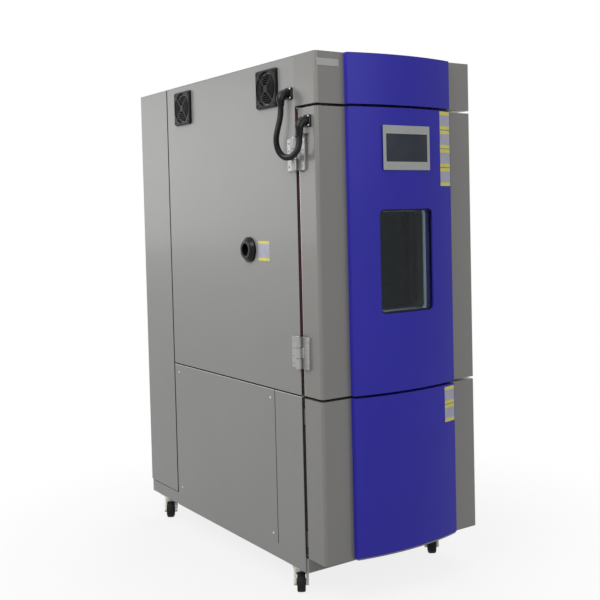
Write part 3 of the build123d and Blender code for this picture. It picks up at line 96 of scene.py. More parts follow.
def ramp(tree, value, colours, low=NOISE_LOW, high=NOISE_HIGH):
    """A field turned into a colour between two colours."""
    node = tree.nodes.new("ShaderNodeValToRGB")
    for element, place, colour in zip(node.color_ramp.elements, (low, high), colours):
        element.position = place
        element.color = (*colour, 1.0)
    tree.links.new(value, node.inputs["Fac"])
    return node.outputs["Color"]


def spread(tree, value, low, high):
    """A field turned into a number between two numbers."""
    node = tree.nodes.new("ShaderNodeMapRange")
    node.inputs["From Min"].default_value = NOISE_LOW
    node.inputs["From Max"].default_value = NOISE_HIGH
    node.inputs["To Min"].default_value = low
    node.inputs["To Max"].default_value = high
    tree.links.new(value, node.inputs["Value"])
    return node.outputs["Result"]


def bump(tree, value, distance):
    """A height field for the shader's normal."""
    node = tree.nodes.new("ShaderNodeBump")
    node.inputs["Distance"].default_value = distance
    node.inputs["Strength"].default_value = 1.0
    tree.links.new(value, node.inputs["Height"])
    return node.outputs["Normal"]


def shade(colour, factor):
    return tuple(min(1.0, part * factor) for part in colour)


def finish(
    name, colour, variation, rough, grain, relief, metal=0.0, stretch=(1, 1, 1), cloud=3.0, coat=0.0, specular=0.5,
):
    """A finish about one colour: slow colour variation, a grain that breaks up the gloss, and a fine relief.

    variation is the share by which the colour varies, rough the roughness from and to, grain and cloud the
    scales of the fine and the slow noise, and relief the height of the grain in metres.
    """
    material, tree, shader = new_material(name)
    fine = noise(tree, object_space(tree, stretch), grain, 3.0)
    slow = noise(tree, object_space(tree), cloud, 5.0)
    tones = (shade(colour, 1 - variation), shade(colour, 1 + variation))
    tree.links.new(ramp(tree, slow, tones), shader.inputs["Base Color"])
    tree.links.new(spread(tree, fine, *rough), shader.inputs["Roughness"])
    tree.links.new(bump(tree, fine, relief), shader.inputs["Normal"])
    shader.inputs["Metallic"].default_value = metal
    shader.inputs["Coat Weight"].default_value = coat
    shader.inputs["Coat Roughness"].default_value = COAT_ROUGHNESS
    shader.inputs["Specular IOR Level"].default_value = specular
    return material


def glass(name, index):
    """Clear glass with faint wiping marks."""
    material, tree, shader = new_material(name)
    smear = noise(tree, object_space(tree, (1, 1, 3)), 9, 5.0)
    tree.links.new(spread(tree, smear, *GLASS_ROUGHNESS), shader.inputs["Roughness"])
    tree.links.new(ramp(tree, smear, (shade(GLASS_TINT, 0.96), GLASS_TINT)), shader.inputs["Base Color"])
    shader.inputs["Transmission Weight"].default_value = 1.0
    shader.inputs["IOR"].default_value = index
    return material


def display():
    """A switched-off touch display: dark glass with a slow change of tone and fine dust."""
    material, tree, shader = new_material("display_dark")
    even = object_space(tree)
    slow = noise(tree, even, 7.0, 2.0)
    dust = noise(tree, even, 900, 2.0)
    tree.links.new(ramp(tree, slow, DISPLAY_TONES, 0.25, 0.75), shader.inputs["Base Color"])
    tree.links.new(spread(tree, dust, 0.12, 0.2), shader.inputs["Roughness"])
    shader.inputs["Specular IOR Level"].default_value = 0.2
    return material


SIDE_GREY = (0.198, 0.197, 0.190)
FRONT_GREY = (0.166, 0.162, 0.151)
BLUE = (0.030, 0.026, 0.33)
FRAME_GREY = (0.02, 0.02, 0.0195)
STEEL = (0.50, 0.50, 0.485)
ALUMINIUM = (0.7, 0.7, 0.69)
SILVER = (0.27, 0.278, 0.268)
ZINC = (0.60, 0.60, 0.58)
HINGE_GREY = (0.34, 0.34, 0.335)
FORK_WHITE = (0.80, 0.79, 0.71)
DARK_RED = (0.050, 0.008, 0.011)
BLACK = (0.006, 0.006, 0.0065)
FAN_BLACK = (0.010, 0.010, 0.0105)
SOFT_BLACK = (0.014, 0.014, 0.015)
# Painted shade: black for strips that stand in for the shade inside the panel gaps
SEAM_SHADE_BLACK = (0.006, 0.006, 0.006)
CREAM = (0.72, 0.66, 0.42)
MOTOR_GREY = (0.08, 0.10, 0.12)
TAG_YELLOW = (0.58, 0.53, 0.09)
TAG_FIELD = (0.34, 0.34, 0.42)
# Painted highlight: a light grey for the strips that stand in for the light caught by the lower side panels' top
# edges
PAINTED_HIGHLIGHT_GREY = (0.62, 0.62, 0.60)
GLASS_TINT = (0.56, 0.66, 0.70)
GLASS_ROUGHNESS = (0.01, 0.04)
DISPLAY_TONES = ((0.016, 0.022, 0.032), (0.034, 0.042, 0.056))
PAINT_ROUGHNESS = (0.34, 0.44)
PAINT_GRAIN = 520
PAINT_RELIEF = 0.0001
ALONG_Z = (1, 1, 14)

MATERIALS = {
    "side_grey": finish(
        "powder_grey", SIDE_GREY, 0.035, PAINT_ROUGHNESS, PAINT_GRAIN, PAINT_RELIEF, cloud=1.6, coat=0.12,
    ),
    "front_grey": finish(
        "powder_front_grey", FRONT_GREY, 0.035, PAINT_ROUGHNESS, PAINT_GRAIN, PAINT_RELIEF, cloud=2.2, coat=0.3,
    ),
    "cover_blue": finish(
        "powder_blue", BLUE, 0.06, PAINT_ROUGHNESS, PAINT_GRAIN, PAINT_RELIEF, cloud=2.0, specular=0.14,
    ),
    "frame_paint": finish("frame_grey", FRAME_GREY, 0.12, (0.5, 0.65), 300, 0.00015, cloud=9),
    "stainless": finish(
        "brushed_stainless", STEEL, 0.05, (0.22, 0.38), 60, 0.00004, metal=1.0, stretch=ALONG_Z, cloud=5,
    ),
    "zinc": finish("cast_zinc", ZINC, 0.06, (0.24, 0.40), 210, 0.00008, metal=0.85, cloud=24),
    "aluminium": finish("mill_aluminium", ALUMINIUM, 0.06, (0.3, 0.5), 160, 0.00005, metal=1.0, cloud=12),
    "bezel_silver": finish("anodised_silver", SILVER, 0.03, (0.34, 0.46), 700, 0.00003, metal=0.5, cloud=14),
    "seal_rubber": finish("seal_rubber", DARK_RED, 0.25, (0.55, 0.75), 240, 0.00015, cloud=8, specular=0.2),
    "hose_plastic": finish("hose_black", BLACK, 0.3, (0.26, 0.38), 380, 0.00005, cloud=20, specular=0.22),
    "port_plastic": finish("port_black", BLACK, 0.25, (0.18, 0.28), 240, 0.00003, cloud=20, specular=0.16),
    "fan_plastic": finish("fan_black", FAN_BLACK, 0.25, (0.30, 0.42), 400, 0.00006, cloud=30, specular=0.10),
    "wheel_rubber": finish("wheel_black", SOFT_BLACK, 0.3, (0.5, 0.75), 260, 0.0002, cloud=40, specular=0.15),
    "foam": finish("foam_cream", CREAM, 0.1, (0.8, 0.95), 300, 0.0005, cloud=15),
    "compressor_black": finish("compressor_black", SOFT_BLACK, 0.3, (0.25, 0.4), 180, 0.0001, cloud=9),
    "motor_paint": finish("motor_grey", MOTOR_GREY, 0.15, (0.4, 0.6), 150, 0.0002, cloud=12),
    "glass": glass("window_glass", 1.12),
    "display_glass": display(),
    # The rest are for pieces of this script only
    "outer_glass": glass("window_glass_outer", 1.22),
    "hinge_metal": finish("hinge_satin", HINGE_GREY, 0.06, (0.26, 0.40), 260, 0.00006, metal=0.6, cloud=18),
    "fork_zinc": finish("fork_zinc", FORK_WHITE, 0.05, (0.36, 0.5), 180, 0.00006, metal=0.1, cloud=30),
    "tag_yellow": finish("tag_yellow", TAG_YELLOW, 0.08, (0.4, 0.5), 300, 0.00002, cloud=30),
    "tag_field": finish("tag_field", TAG_FIELD, 0.08, (0.4, 0.5), 300, 0.00002, cloud=30),
    # Painted highlight, for the light strips below the side seam
    "painted_highlight": finish("painted_highlight", PAINTED_HIGHLIGHT_GREY, 0.05, (0.3, 0.45), 300, 0.00003, cloud=20),
    # Painted shade, for the black strips over the panel gaps
    "painted_seam_shade": finish("painted_seam_shade", SEAM_SHADE_BLACK, 0.2, (0.5, 0.7), 300, 0.0001, cloud=20, specular=0.05),
}

for entry in frame["record"]["subparts"]:
    cad_object = nodes[entry["node"]]
    cad_object.data.materials.clear()
    cad_object.data.materials.append(MATERIALS[entry["material_slot"]])
    for polygon in cad_object.data.polygons:
        polygon.material_index = 0
nodes["base_frame"].data.materials[0] = MATERIALS["side_grey"]


# Mesh building

LEFT = (-1, 0, 0)
FRONT = (0, -1, 0)
BACK = (0, 1, 0)
UP = (0, 0, 1)
BOTH_SIDES = (-1, 1)
SMALLEST = 1e-6


def walls(rings, count, closed=False):
    """Quads between successive rings of points. Closed rings join up, and open ones get a cap at each end."""
    faces = []
    for ring in range(rings if closed else rings - 1):
        low, high = ring * count, (ring + 1) % rings * count
        for index in range(count):
            following = (index + 1) % count
            faces.append((low + index, low + following, high + following, high + index))
    if not closed:
        faces.append(tuple(reversed(range(count))))
        faces.append(tuple((rings - 1) * count + index for index in range(count)))
    return faces


def middle_of(outline):
    """The mean of an outline's points."""
    return Vector([sum(values) / len(outline) for values in zip(*outline)])


class Shape:
    """A mesh gathered from simple forms, each placed by a matrix."""

    def __init__(self):
        self.points = []
        self.faces = []

    def add(self, points, faces, place):
        start = len(self.points)
        self.points += [place @ Vector(point) for point in points]
        self.faces += [tuple(start + index for index in face) for face in faces]

    def turned(self, outline, place, sides=32, wave=None):
        """A form turned about local Z from (radius, height) pairs, with flat ends."""
        points = []
        for step, (radius, height) in enumerate(outline):
            for side in range(sides):
                angle = 2 * math.pi * side / sides
                reach = radius * (wave(step, angle) if wave else 1.0)
                points.append((reach * math.cos(angle), reach * math.sin(angle), height))
        self.add(points, walls(len(outline), sides), place)

    def slab(self, outline, depth, place, edge=0.0):
        """A flat form with a bevelled front edge, from an outline in local XY, standing along +Z."""
        layers = [(0.0, 0.0), (0.0, depth - edge), (edge, depth)] if edge else [(0.0, 0.0), (0.0, depth)]
        middle = middle_of(outline)
        points = []
        for inset, height in layers:
            for point in outline:
                away = Vector(point) - middle
                scale = 1 - inset / max(away.length, SMALLEST)
                points.append((middle.x + away.x * scale, middle.y + away.y * scale, height))
        self.add(points, walls(len(layers), len(outline)), place)

    def rim(self, outline, share, depth, place):
        """An upright wall along an outline: its inner side is the same outline at a share of the size."""
        middle = middle_of(outline)
        points = []
        for scale, height in ((1.0, 0.0), (1.0, depth), (share, depth), (share, 0.0)):
            points += [(*(middle + (Vector(point) - middle) * scale), height) for point in outline]
        self.add(points, walls(4, len(outline), closed=True), place)

    def swept(self, path, radii, sides=24, across=(0, 1, 0)):
        """A round form along a path, with one radius at each point."""
        across = Vector(across)
        points = []
        for index, (step, radius) in enumerate(zip(path, radii)):
            direction = (path[min(index + 1, len(path) - 1)] - path[max(index - 1, 0)]).normalized()
            across = (across - direction * across.dot(direction)).normalized()
            other = direction.cross(across)
            for side in range(sides):
                angle = 2 * math.pi * side / sides
                points.append(step + radius * (math.cos(angle) * across + math.sin(angle) * other))
        self.add(points, walls(len(path), sides), Matrix.Identity(4))

    def build(self, name, material, body, slot, sharp=35):
        """The object, riding on its body if one is named."""
        mesh = bpy.data.meshes.new(name)
        mesh.from_pydata([tuple(point) for point in self.points], [], self.faces)
        work = bmesh.new()
        work.from_mesh(mesh)
        bmesh.ops.recalc_face_normals(work, faces=work.faces)
        work.to_mesh(mesh)
        work.free()
        for polygon in mesh.polygons:
            polygon.use_smooth = True
        mesh.set_sharp_from_angle(angle=math.radians(sharp))
        mesh.materials.append(MATERIALS[material])
        piece = bpy.data.objects.new(name, mesh)
        scene.collection.objects.link(piece)
        if body:
            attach(piece, body)
        return piece


def rounded(width, height, radius, steps=6):
    """A rounded rectangle as points in order."""
    points = []
    for corner, start in (((1, 1), 0), ((-1, 1), 90), ((-1, -1), 180), ((1, -1), 270)):
        centre = (corner[0] * (width / 2 - radius), corner[1] * (height / 2 - radius))
        for step in range(steps + 1):
            angle = math.radians(start + 90 * step / steps)
            points.append((centre[0] + radius * math.cos(angle), centre[1] + radius * math.sin(angle)))
    return points


def facing(origin, normal, up=UP):
    """A matrix whose local Z is the normal and local Y is as near up as it can be."""
    z = Vector(normal).normalized()
    x = Vector(up).cross(z).normalized()
    y = z.cross(x)
    return Matrix.Translation(origin) @ Matrix((x, y, z)).transposed().to_4x4()


def placed(origin, x, z):
    """A matrix from an origin, the direction of local X and the direction of local Z."""
    x, z = Vector(x).normalized(), Vector(z).normalized()
    return Matrix.Translation(origin) @ Matrix((x, z.cross(x), z)).transposed().to_4x4()


# Screws: (radius, height) pairs as shares of the head's radius and height; the socket has the last two

SCREW_OUTLINE = (
    (0.96, 0), (1, 0.15), (0.96, 0.55), (0.78, 0.87), (0.56, 0.98), (0.50, 1), (0.42, 1), (0.42, 0.4),
)
SOCKET_STEP = 6
SCREW_HEIGHT = 0.62
SCREW_SIDES = 24
SOCKET_FLAT = 0.9


def socket(step, angle):
    """The change of reach at an angle: none on the round head, and six flats in the socket."""
    if step < SOCKET_STEP:
        return 1.0
    return SOCKET_FLAT / math.cos(angle % (math.pi / 3) - math.pi / 6)


def screw_head(shape, origin, normal, radius):
    """A button head with a hexagon socket."""
    height = radius * SCREW_HEIGHT
    outline = [(radius * across, height * up) for across, up in SCREW_OUTLINE]
    shape.turned(outline, facing(origin, normal), SCREW_SIDES, socket)


# Camera at the photograph's place: the directions of its own right, up and view

EYE = (-2.2882, -3.4555, 1.4424)
EYE_RIGHT = (0.82475, -0.56500, -0.02371)
EYE_UP = (0.0423, 0.0198, 0.9989)
EYE_VIEW = (0.56391, 0.82486, -0.04021)
SENSOR_WIDTH = 36.0
LENS = 56.34
LENS_SHIFT = (-0.0168, -0.0823)


def camera():
    data = bpy.data.cameras.new("camera")
    data.sensor_fit = "HORIZONTAL"
    data.sensor_width = SENSOR_WIDTH
    data.lens = LENS
    data.shift_x, data.shift_y = LENS_SHIFT
    data.clip_end = 100.0
    eye = bpy.data.objects.new("camera", data)
    scene.collection.objects.link(eye)
    turn = Matrix((Vector(EYE_RIGHT), Vector(EYE_UP), -Vector(EYE_VIEW))).transposed().to_4x4()
    eye.matrix_world = Matrix.Translation(EYE) @ turn
    scene.camera = eye


camera()


# Hose from the cabinet to the door: a ribbed conduit that hangs in a loop

HOSE_ROUTE = [
    (-0.415, -0.5475, 1.840), (-0.415, -0.5475, 1.804), (-0.419, -0.533, 1.762), (-0.423, -0.519, 1.716),
    (-0.4232, -0.533, 1.672), (-0.4232, -0.577, 1.643), (-0.421, -0.630, 1.646), (-0.413, -0.6625, 1.678),
    (-0.413, -0.6625, 1.722),
]
HOSE_RADIUS = 0.0115
HOSE_SIDES = 20
RIB_PITCH = 0.0044
RIB_DEPTH = 0.0014
RIB_STEPS = 4


def smooth_route(points):
    """The points along the route's own smooth line."""
    curve = bpy.data.curves.new("route", "CURVE")
    curve.dimensions = "3D"
    curve.resolution_u = 24
    spline = curve.splines.new("NURBS")
    spline.points.add(len(points) - 1)
    for point, place in zip(spline.points, points):
        point.co = (*place, 1.0)
    spline.order_u = 3
    spline.use_endpoint_u = True
    holder = bpy.data.objects.new("route", curve)
    scene.collection.objects.link(holder)
    bpy.context.view_layer.update()
    line = bpy.data.meshes.new_from_object(holder)
    stations = [vertex.co.copy() for vertex in line.vertices]
    bpy.data.objects.remove(holder)
    bpy.data.meshes.remove(line)
    return stations


def along(stations, pitch):
    """Points at even steps along a line of points, with the line's length."""
    lengths = [0.0]
    for near, far in zip(stations, stations[1:]):
        lengths.append(lengths[-1] + (far - near).length)
    total = lengths[-1]
    count = max(2, round(total / pitch))
    steps, segment = [], 0
    for index in range(count + 1):
        reach = total * index / count
        while segment < len(lengths) - 2 and lengths[segment + 1] < reach:
            segment += 1
        part = (reach - lengths[segment]) / max(lengths[segment + 1] - lengths[segment], SMALLEST)
        steps.append(stations[segment].lerp(stations[segment + 1], part))
    return steps, total


def ribbed_tube(name, stations, radius):
    """A tube with rounded ribs round it, and its length."""
    steps, total = along(stations, RIB_PITCH / RIB_STEPS)
    radii = [
        radius - RIB_DEPTH * (0.5 - 0.5 * math.cos(2 * math.pi * index / RIB_STEPS)) for index in range(len(steps))
    ]
    tube = Shape()
    tube.swept(steps, radii, HOSE_SIDES, Vector((1, 0, 0)).cross(steps[1] - steps[0]))
    return tube.build(name, "hose_plastic", None, "hose_plastic", sharp=60), total


hose_line = smooth_route(HOSE_ROUTE)
hose_piece, hose_length = ribbed_tube("hose_conduit", hose_line, HOSE_RADIUS)
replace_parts(hose_piece, "hose")
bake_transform(hose_piece)


# Elbows: a square flange with four screws and a rubber boot that bends down to the hose

SIDE_X = -0.375
CABINET_GLAND_Z = 1.882
DOOR_GLAND_Z = 1.772
FLANGE_WIDTH = 0.044
FLANGE_DEPTH = 0.010
FLANGE_CORNER = 0.006
FLANGE_EDGE = 0.0015
FLANGE_SCREW = 0.0038
FLANGE_SCREW_REACH = 0.0165
BOOT_SEAT = 0.001
BEND_RADIUS = 0.024
BEND_STEPS = 12
BEND_THICK = 0.0172
BEND_TAPER = 0.0012
NECK_THICK = 0.0158
NECK_TAPER = 0.0030
NECK_RINGS = 4
RING_STEPS = 6
GROOVE_STEPS = (3, 4)
GROOVE_DEPTH = 0.0014
HOSE_LAP = 0.004


def boot_line(end, z):
    """The boot's path, out of the flange and down to the hose's end, with the radius at each point."""
    path = [Vector((SIDE_X - FLANGE_DEPTH + BOOT_SEAT, end[1], z))]
    radii = [BEND_THICK]
    corner = Vector((end[0], end[1], z))
    for step in range(BEND_STEPS + 1):
        angle = math.pi / 2 * step / BEND_STEPS
        bend = Vector((BEND_RADIUS * (1 - math.sin(angle)), 0, -BEND_RADIUS * (1 - math.cos(angle))))
        path.append(corner + bend)
        radii.append(BEND_THICK - BEND_TAPER * step / BEND_STEPS)
    drop = (z - BEND_RADIUS) - (end[2] - HOSE_LAP)
    neck_steps = RING_STEPS * NECK_RINGS
    for step in range(1, neck_steps + 1):
        share = step / neck_steps
        groove = GROOVE_DEPTH if step % RING_STEPS in GROOVE_STEPS else 0.0
        path.append(corner + Vector((0, 0, -BEND_RADIUS - drop * share)))
        radii.append(NECK_THICK - NECK_TAPER * share - groove)
    return path, radii


def elbow(name, body, node, end, z):
    """A boot on its flange, where end is the hose's end and z the height of the flange's middle."""
    boot = Shape()
    flange = rounded(FLANGE_WIDTH, FLANGE_WIDTH, FLANGE_CORNER)
    boot.slab(flange, FLANGE_DEPTH, facing((SIDE_X, end[1], z), LEFT), FLANGE_EDGE)
    boot.swept(*boot_line(end, z))
    piece = boot.build(name, "hose_plastic", body, "hose_plastic", sharp=40)
    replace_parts(piece, node)
    screws = Shape()
    for side in BOTH_SIDES:
        for level in BOTH_SIDES:
            place = (SIDE_X - FLANGE_DEPTH, end[1] + side * FLANGE_SCREW_REACH, z + level * FLANGE_SCREW_REACH)
            screw_head(screws, place, LEFT, FLANGE_SCREW)
    screws.build(f"{name}_screws", "zinc", body, "zinc")
    return piece


elbow_boots = [
    elbow("cabinet_boot", "cabinet", "cabinet_elbow", HOSE_ROUTE[0], CABINET_GLAND_Z),
    elbow("door_boot", "door", "door_elbow", HOSE_ROUTE[-1], DOOR_GLAND_Z),
]


# Hinges: square leaves with raised webs, three knuckles, a pin with domed ends, and a knob on the upper door leaf

HINGE_X = -0.393
HINGE_Y = -0.5945
HINGE_ZS = (0.929, 1.656)
HINGE_HEIGHT = 0.118
DOOR_LEAF_Y = -0.6045
CABINET_LEAF_Y = -0.5785
LEAF_WIDTH = 0.042
LEAF_DEPTH = 0.009
LEAF_EDGE = 0.001
LEAF_CORNER = 0.002
CORNER_STEPS = 3
LEAF_SCREW = 0.0036
LEAF_SCREW_INSET = 0.010
LEAF_SCREW_LEVELS = (-0.043, -0.0145, 0.0145, 0.043)
KNUCKLE = HINGE_HEIGHT / 3
KNUCKLE_RADIUS = 0.013
KNUCKLE_GAP = 0.0005
KNUCKLE_EDGE = 0.0008
WEB_WIDTH = 0.012
WEB_DEPTH = 0.0115
WEB_LIFT = 0.002
WEB_EDGE = 0.0015
PIN_DOME = [(0.0095, 0), (0.0095, 0.002), (0.0085, 0.004), (0.006, 0.0055), (0.003, 0.0062), (0.0005, 0.0064)]
KNOB = [
    (0.004, -0.001), (0.004, 0.004), (0.0062, 0.0055), (0.0075, 0.009), (0.0072, 0.0125), (0.005, 0.0155),
    (0.0008, 0.0165),
]
KNOB_X = -0.3835
KNOB_Y = -0.640
TURNED_SIDES = 24


def knuckle(shape, z, near_y, way):
    """One knuckle about the pin, and the raised web that joins it to its leaf."""
    height = KNUCKLE - 2 * KNUCKLE_GAP
    shape.turned(
        [
            (KNUCKLE_RADIUS - KNUCKLE_EDGE, -height / 2), (KNUCKLE_RADIUS, -height / 2 + KNUCKLE_EDGE),
            (KNUCKLE_RADIUS, height / 2 - KNUCKLE_EDGE), (KNUCKLE_RADIUS - KNUCKLE_EDGE, height / 2),
        ],
        Matrix.Translation((HINGE_X, HINGE_Y, z)),
    )
    reach = abs(near_y + way * WEB_WIDTH - HINGE_Y)
    web_place = facing((SIDE_X - WEB_LIFT, HINGE_Y + way * reach / 2, z), LEFT)
    shape.slab(rounded(reach, height, LEAF_CORNER, CORNER_STEPS), WEB_DEPTH, web_place, WEB_EDGE)


def hinge_side(name, body, node, near_y, way, knuckles):
    """One half of both hinges; way is the side along Y on which its leaf lies."""
    half = Shape()
    screws = Shape()
    leaf = rounded(LEAF_WIDTH, HINGE_HEIGHT, LEAF_CORNER, CORNER_STEPS)
    for middle_z in HINGE_ZS:
        half.slab(leaf, LEAF_DEPTH, facing((SIDE_X, near_y + way * LEAF_WIDTH / 2, middle_z), LEFT), LEAF_EDGE)
        for index in knuckles:
            knuckle(half, middle_z - HINGE_HEIGHT / 2 + KNUCKLE * (index + 0.5), near_y, way)
        screw_y = near_y + way * (LEAF_WIDTH - LEAF_SCREW_INSET)
        for level in LEAF_SCREW_LEVELS:
            screw_head(screws, (SIDE_X - LEAF_DEPTH, screw_y, middle_z + level), LEFT, LEAF_SCREW)
    if body == "cabinet":
        for middle_z in HINGE_ZS:
            for end in BOTH_SIDES:
                place = (HINGE_X, HINGE_Y, middle_z + end * HINGE_HEIGHT / 2)
                half.turned(PIN_DOME, facing(place, (0, 0, end), BACK), TURNED_SIDES)
    else:
        half.turned(KNOB, Matrix.Translation((KNOB_X, KNOB_Y, HINGE_ZS[1] + HINGE_HEIGHT / 2)), TURNED_SIDES)
    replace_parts(half.build(name, "hinge_metal", body, "zinc", sharp=30), node)
    screws.build(f"{name}_screws", "hinge_metal", body, "zinc")


hinge_side("door_hinge_castings", "door", "door_hinge_leaves", DOOR_LEAF_Y, -1, (1,))
hinge_side("cabinet_hinge_castings", "cabinet", "cabinet_hinges", CABINET_LEAF_Y, 1, (0, 2))


# Casters: a bearing race, a pressed fork with flanged cheeks, an axle with nuts, and a wheel with a tyre

CASTER_TURN = math.radians(236)
TRAIL = Vector((math.cos(CASTER_TURN), math.sin(CASTER_TURN), 0))
AXLE = Vector((-TRAIL.y, TRAIL.x, 0))
CASTER_TRAIL = 0.034
WHEEL_RADIUS = 0.0375
# Each caster's kingpin, x and y
CASTERS = {
    "front_left": (-0.330, -0.4795), "front_right": (0.330, -0.4795),
    "rear_left": (-0.330, 0.6435), "rear_right": (0.330, 0.6435),
}
FORK_X = 0.019
FORK_SHEET = 0.003
FORK_WIDTH = 2 * (FORK_X + FORK_SHEET)
FORK_TOP_Z = 0.0835
FORK_CORNER = 0.004
FORK_EDGE = 0.0008
CROWN_LENGTH = 0.047
CROWN_AHEAD = 0.0035
CROWN_LAP = 0.0005
APRON_HEIGHT = 0.018
APRON_DROP = 0.010
APRON_AHEAD = 0.0245
CHEEK_TOP = FORK_TOP_Z - WHEEL_RADIUS
CHEEK_BACK = -0.054
CHEEK_FRONT = -0.007
CHEEK_FOOT = 0.013
CHEEK_EDGE = 0.0006
CHEEK_FLANGE = 0.010
CHEEK_INNER_SHARE = 0.86
# Turned outlines, as (radius, height) pairs
RACE = [
    (0.029, 0), (0.033, 0.0012), (0.033, 0.0048), (0.0315, 0.0058), (0.033, 0.0068), (0.033, 0.0100),
    (0.029, 0.0115),
]
NUT = [(0.0082, 0), (0.0082, 0.0042), (0.0072, 0.005)]
AXLE_END = [(0.0042, 0), (0.0042, 0.0066), (0.0034, 0.0074)]
WHEEL_HALF = [
    (0.0060, 0.0182), (0.0125, 0.0182), (0.0140, 0.0170), (0.0140, 0.0095), (0.0205, 0.0085), (0.0255, 0.0098),
    (0.0272, 0.0140), (0.0285, 0.0158), (0.0332, 0.0160), (0.0362, 0.0135), (WHEEL_RADIUS, 0.0075),
]
WHEEL = [(radius, -height) for radius, height in WHEEL_HALF] + WHEEL_HALF[::-1]


def cheek_outline():
    """The side of a fork, from its wide top to the round foot about the axle."""
    turns = [math.radians(angle) for angle in range(180, 361, 15)]
    foot = [(CHEEK_FOOT * math.cos(turn), CHEEK_FOOT * math.sin(turn)) for turn in turns]
    return [(CHEEK_BACK, CHEEK_TOP)] + foot + [(CHEEK_FRONT, CHEEK_TOP)]


def caster_fork(name, x, y, centre):
    """The fork; centre is the wheel's middle."""
    fork = Shape()
    fork.turned(RACE, Matrix.Translation((x, y, FORK_TOP_Z)), sides=40)
    crown_place = placed(Vector((x, y, FORK_TOP_Z - FORK_SHEET)) + CROWN_AHEAD * TRAIL, TRAIL, UP)
    fork.slab(rounded(CROWN_LENGTH, FORK_WIDTH, FORK_CORNER), FORK_SHEET + CROWN_LAP, crown_place, FORK_EDGE)
    apron_place = placed(Vector((x, y, FORK_TOP_Z - APRON_DROP)) + APRON_AHEAD * TRAIL, AXLE, TRAIL)
    fork.slab(rounded(FORK_WIDTH, APRON_HEIGHT, FORK_CORNER), FORK_SHEET, apron_place, FORK_EDGE)
    cheek = cheek_outline()
    for side in BOTH_SIDES:
        place = placed(centre + side * FORK_X * AXLE, TRAIL, -AXLE) @ Matrix.Diagonal((1, 1, -side, 1))
        fork.slab(cheek, FORK_SHEET, place, CHEEK_EDGE)
        fork.rim(cheek, CHEEK_INNER_SHARE, CHEEK_FLANGE, place)
        outer = facing(centre + side * (FORK_X + FORK_SHEET) * AXLE, side * AXLE)
        fork.turned(NUT, outer, sides=6)
        fork.turned(AXLE_END, outer, sides=20)
    piece = fork.build(f"{name}_fork_dressed", "fork_zinc", f"{name}_caster", "zinc", sharp=30)
    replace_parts(piece, f"{name}_caster_fork")


def caster_wheel(name, centre):
    wheel = Shape()
    wheel.turned(WHEEL, facing(centre, AXLE), sides=56)
    piece = wheel.build(f"{name}_tyre", "wheel_rubber", f"{name}_wheel", "wheel_rubber", sharp=30)
    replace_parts(piece, f"{name}_caster_wheel")


for caster_name, (caster_x, caster_y) in CASTERS.items():
    wheel_centre = Vector((caster_x, caster_y, WHEEL_RADIUS)) + CASTER_TRAIL * TRAIL
    caster_fork(caster_name, caster_x, caster_y, wheel_centre)
    caster_wheel(caster_name, wheel_centre)


# Window: the outer pane sits just inside the bowed cover with a bead round it, and three panes stand behind it

PANE_YS = (-0.744, -0.6665, -0.6225, -0.5785)
PANE_WIDTH = 0.2544
PANE_HEIGHT = 0.3864
PANE_CORNER = 0.0197
PANE_STEPS = 8
PANE_DEPTH = 0.006
PANE_EDGE = 0.0008
WINDOW_Z = 1.255
BEAD_LAP = 0.0002
BEAD_DEPTH = 0.003
BEAD_INNER_SHARE = 0.965


def panes(name, material, places):
    """The panes at some places along Y, as one piece."""
    shape = Shape()
    for pane_y in places:
        place = facing((0, pane_y + PANE_DEPTH, WINDOW_Z), FRONT)
        shape.slab(rounded(PANE_WIDTH, PANE_HEIGHT, PANE_CORNER, PANE_STEPS), PANE_DEPTH, place, PANE_EDGE)
    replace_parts(shape.build(name, material, "door", "glass"), "window_panes")


panes("window_outer_pane", "outer_glass", PANE_YS[:1])
panes("window_inner_panes", "glass", PANE_YS[1:])

bead = Shape()
bead.rim(
    rounded(PANE_WIDTH + 2 * BEAD_LAP, PANE_HEIGHT + 2 * BEAD_LAP, PANE_CORNER + BEAD_LAP, PANE_STEPS),
    BEAD_INNER_SHARE, BEAD_DEPTH, facing((0, PANE_YS[0], WINDOW_Z), FRONT),
)
bead.build("window_bead", "port_plastic", "door", "port_plastic")


# Door seal: a lip seal with a groove near the door's edge, seen in the gap, and a second ring round the mouth

SEAL_FRONT_Y = -0.6005
SEAL_BACK_Y = -0.5885
SEAL_WIDTH = 0.018
SEAL_CORNER = 0.012
SEAL_GROOVE = 0.0025
# (inset, from, to) of the lip, the groove and the foot
SEAL_LAYERS = ((0.0, 0.0, 0.004), (SEAL_GROOVE, 0.004, 0.008), (0.0, 0.008, SEAL_BACK_Y - SEAL_FRONT_Y))
# (half width, z from, z to) of the outer and the inner ring
SEAL_RINGS = ((0.3742, 0.7715, 1.8205), (0.278, 0.891, 1.697))

gasket = Shape()
for half_x, low_z, high_z in SEAL_RINGS:
    seal_place = facing((0, SEAL_BACK_Y, (low_z + high_z) / 2), FRONT)
    for inset, low, high in SEAL_LAYERS:
        layer = rounded(2 * (half_x - inset), high_z - low_z - 2 * inset, SEAL_CORNER)
        layer_place = seal_place @ Matrix.Translation((0, 0, low))
        gasket.rim(layer, 1 - SEAL_WIDTH / half_x, high - low, layer_place)
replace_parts(gasket.build("door_gasket", "seal_rubber", "door", "seal_rubber"), "door_seal")


# Plain tags and a blank plate, in the places of the photograph's labels

BOW_RADIUS = 1.0236
BOW_FRONT_Y = -0.7625
BOW_COLUMNS = 8
TAG_LIFT = 0.0001
TAG_DEPTH = 0.0005
TAG_GAP = 0.0012
BAND_SHARE = 0.2


def bow_y(x):
    """The bowed cover's face in plan."""
    return BOW_FRONT_Y + BOW_RADIUS - math.sqrt(BOW_RADIUS * BOW_RADIUS - x * x)


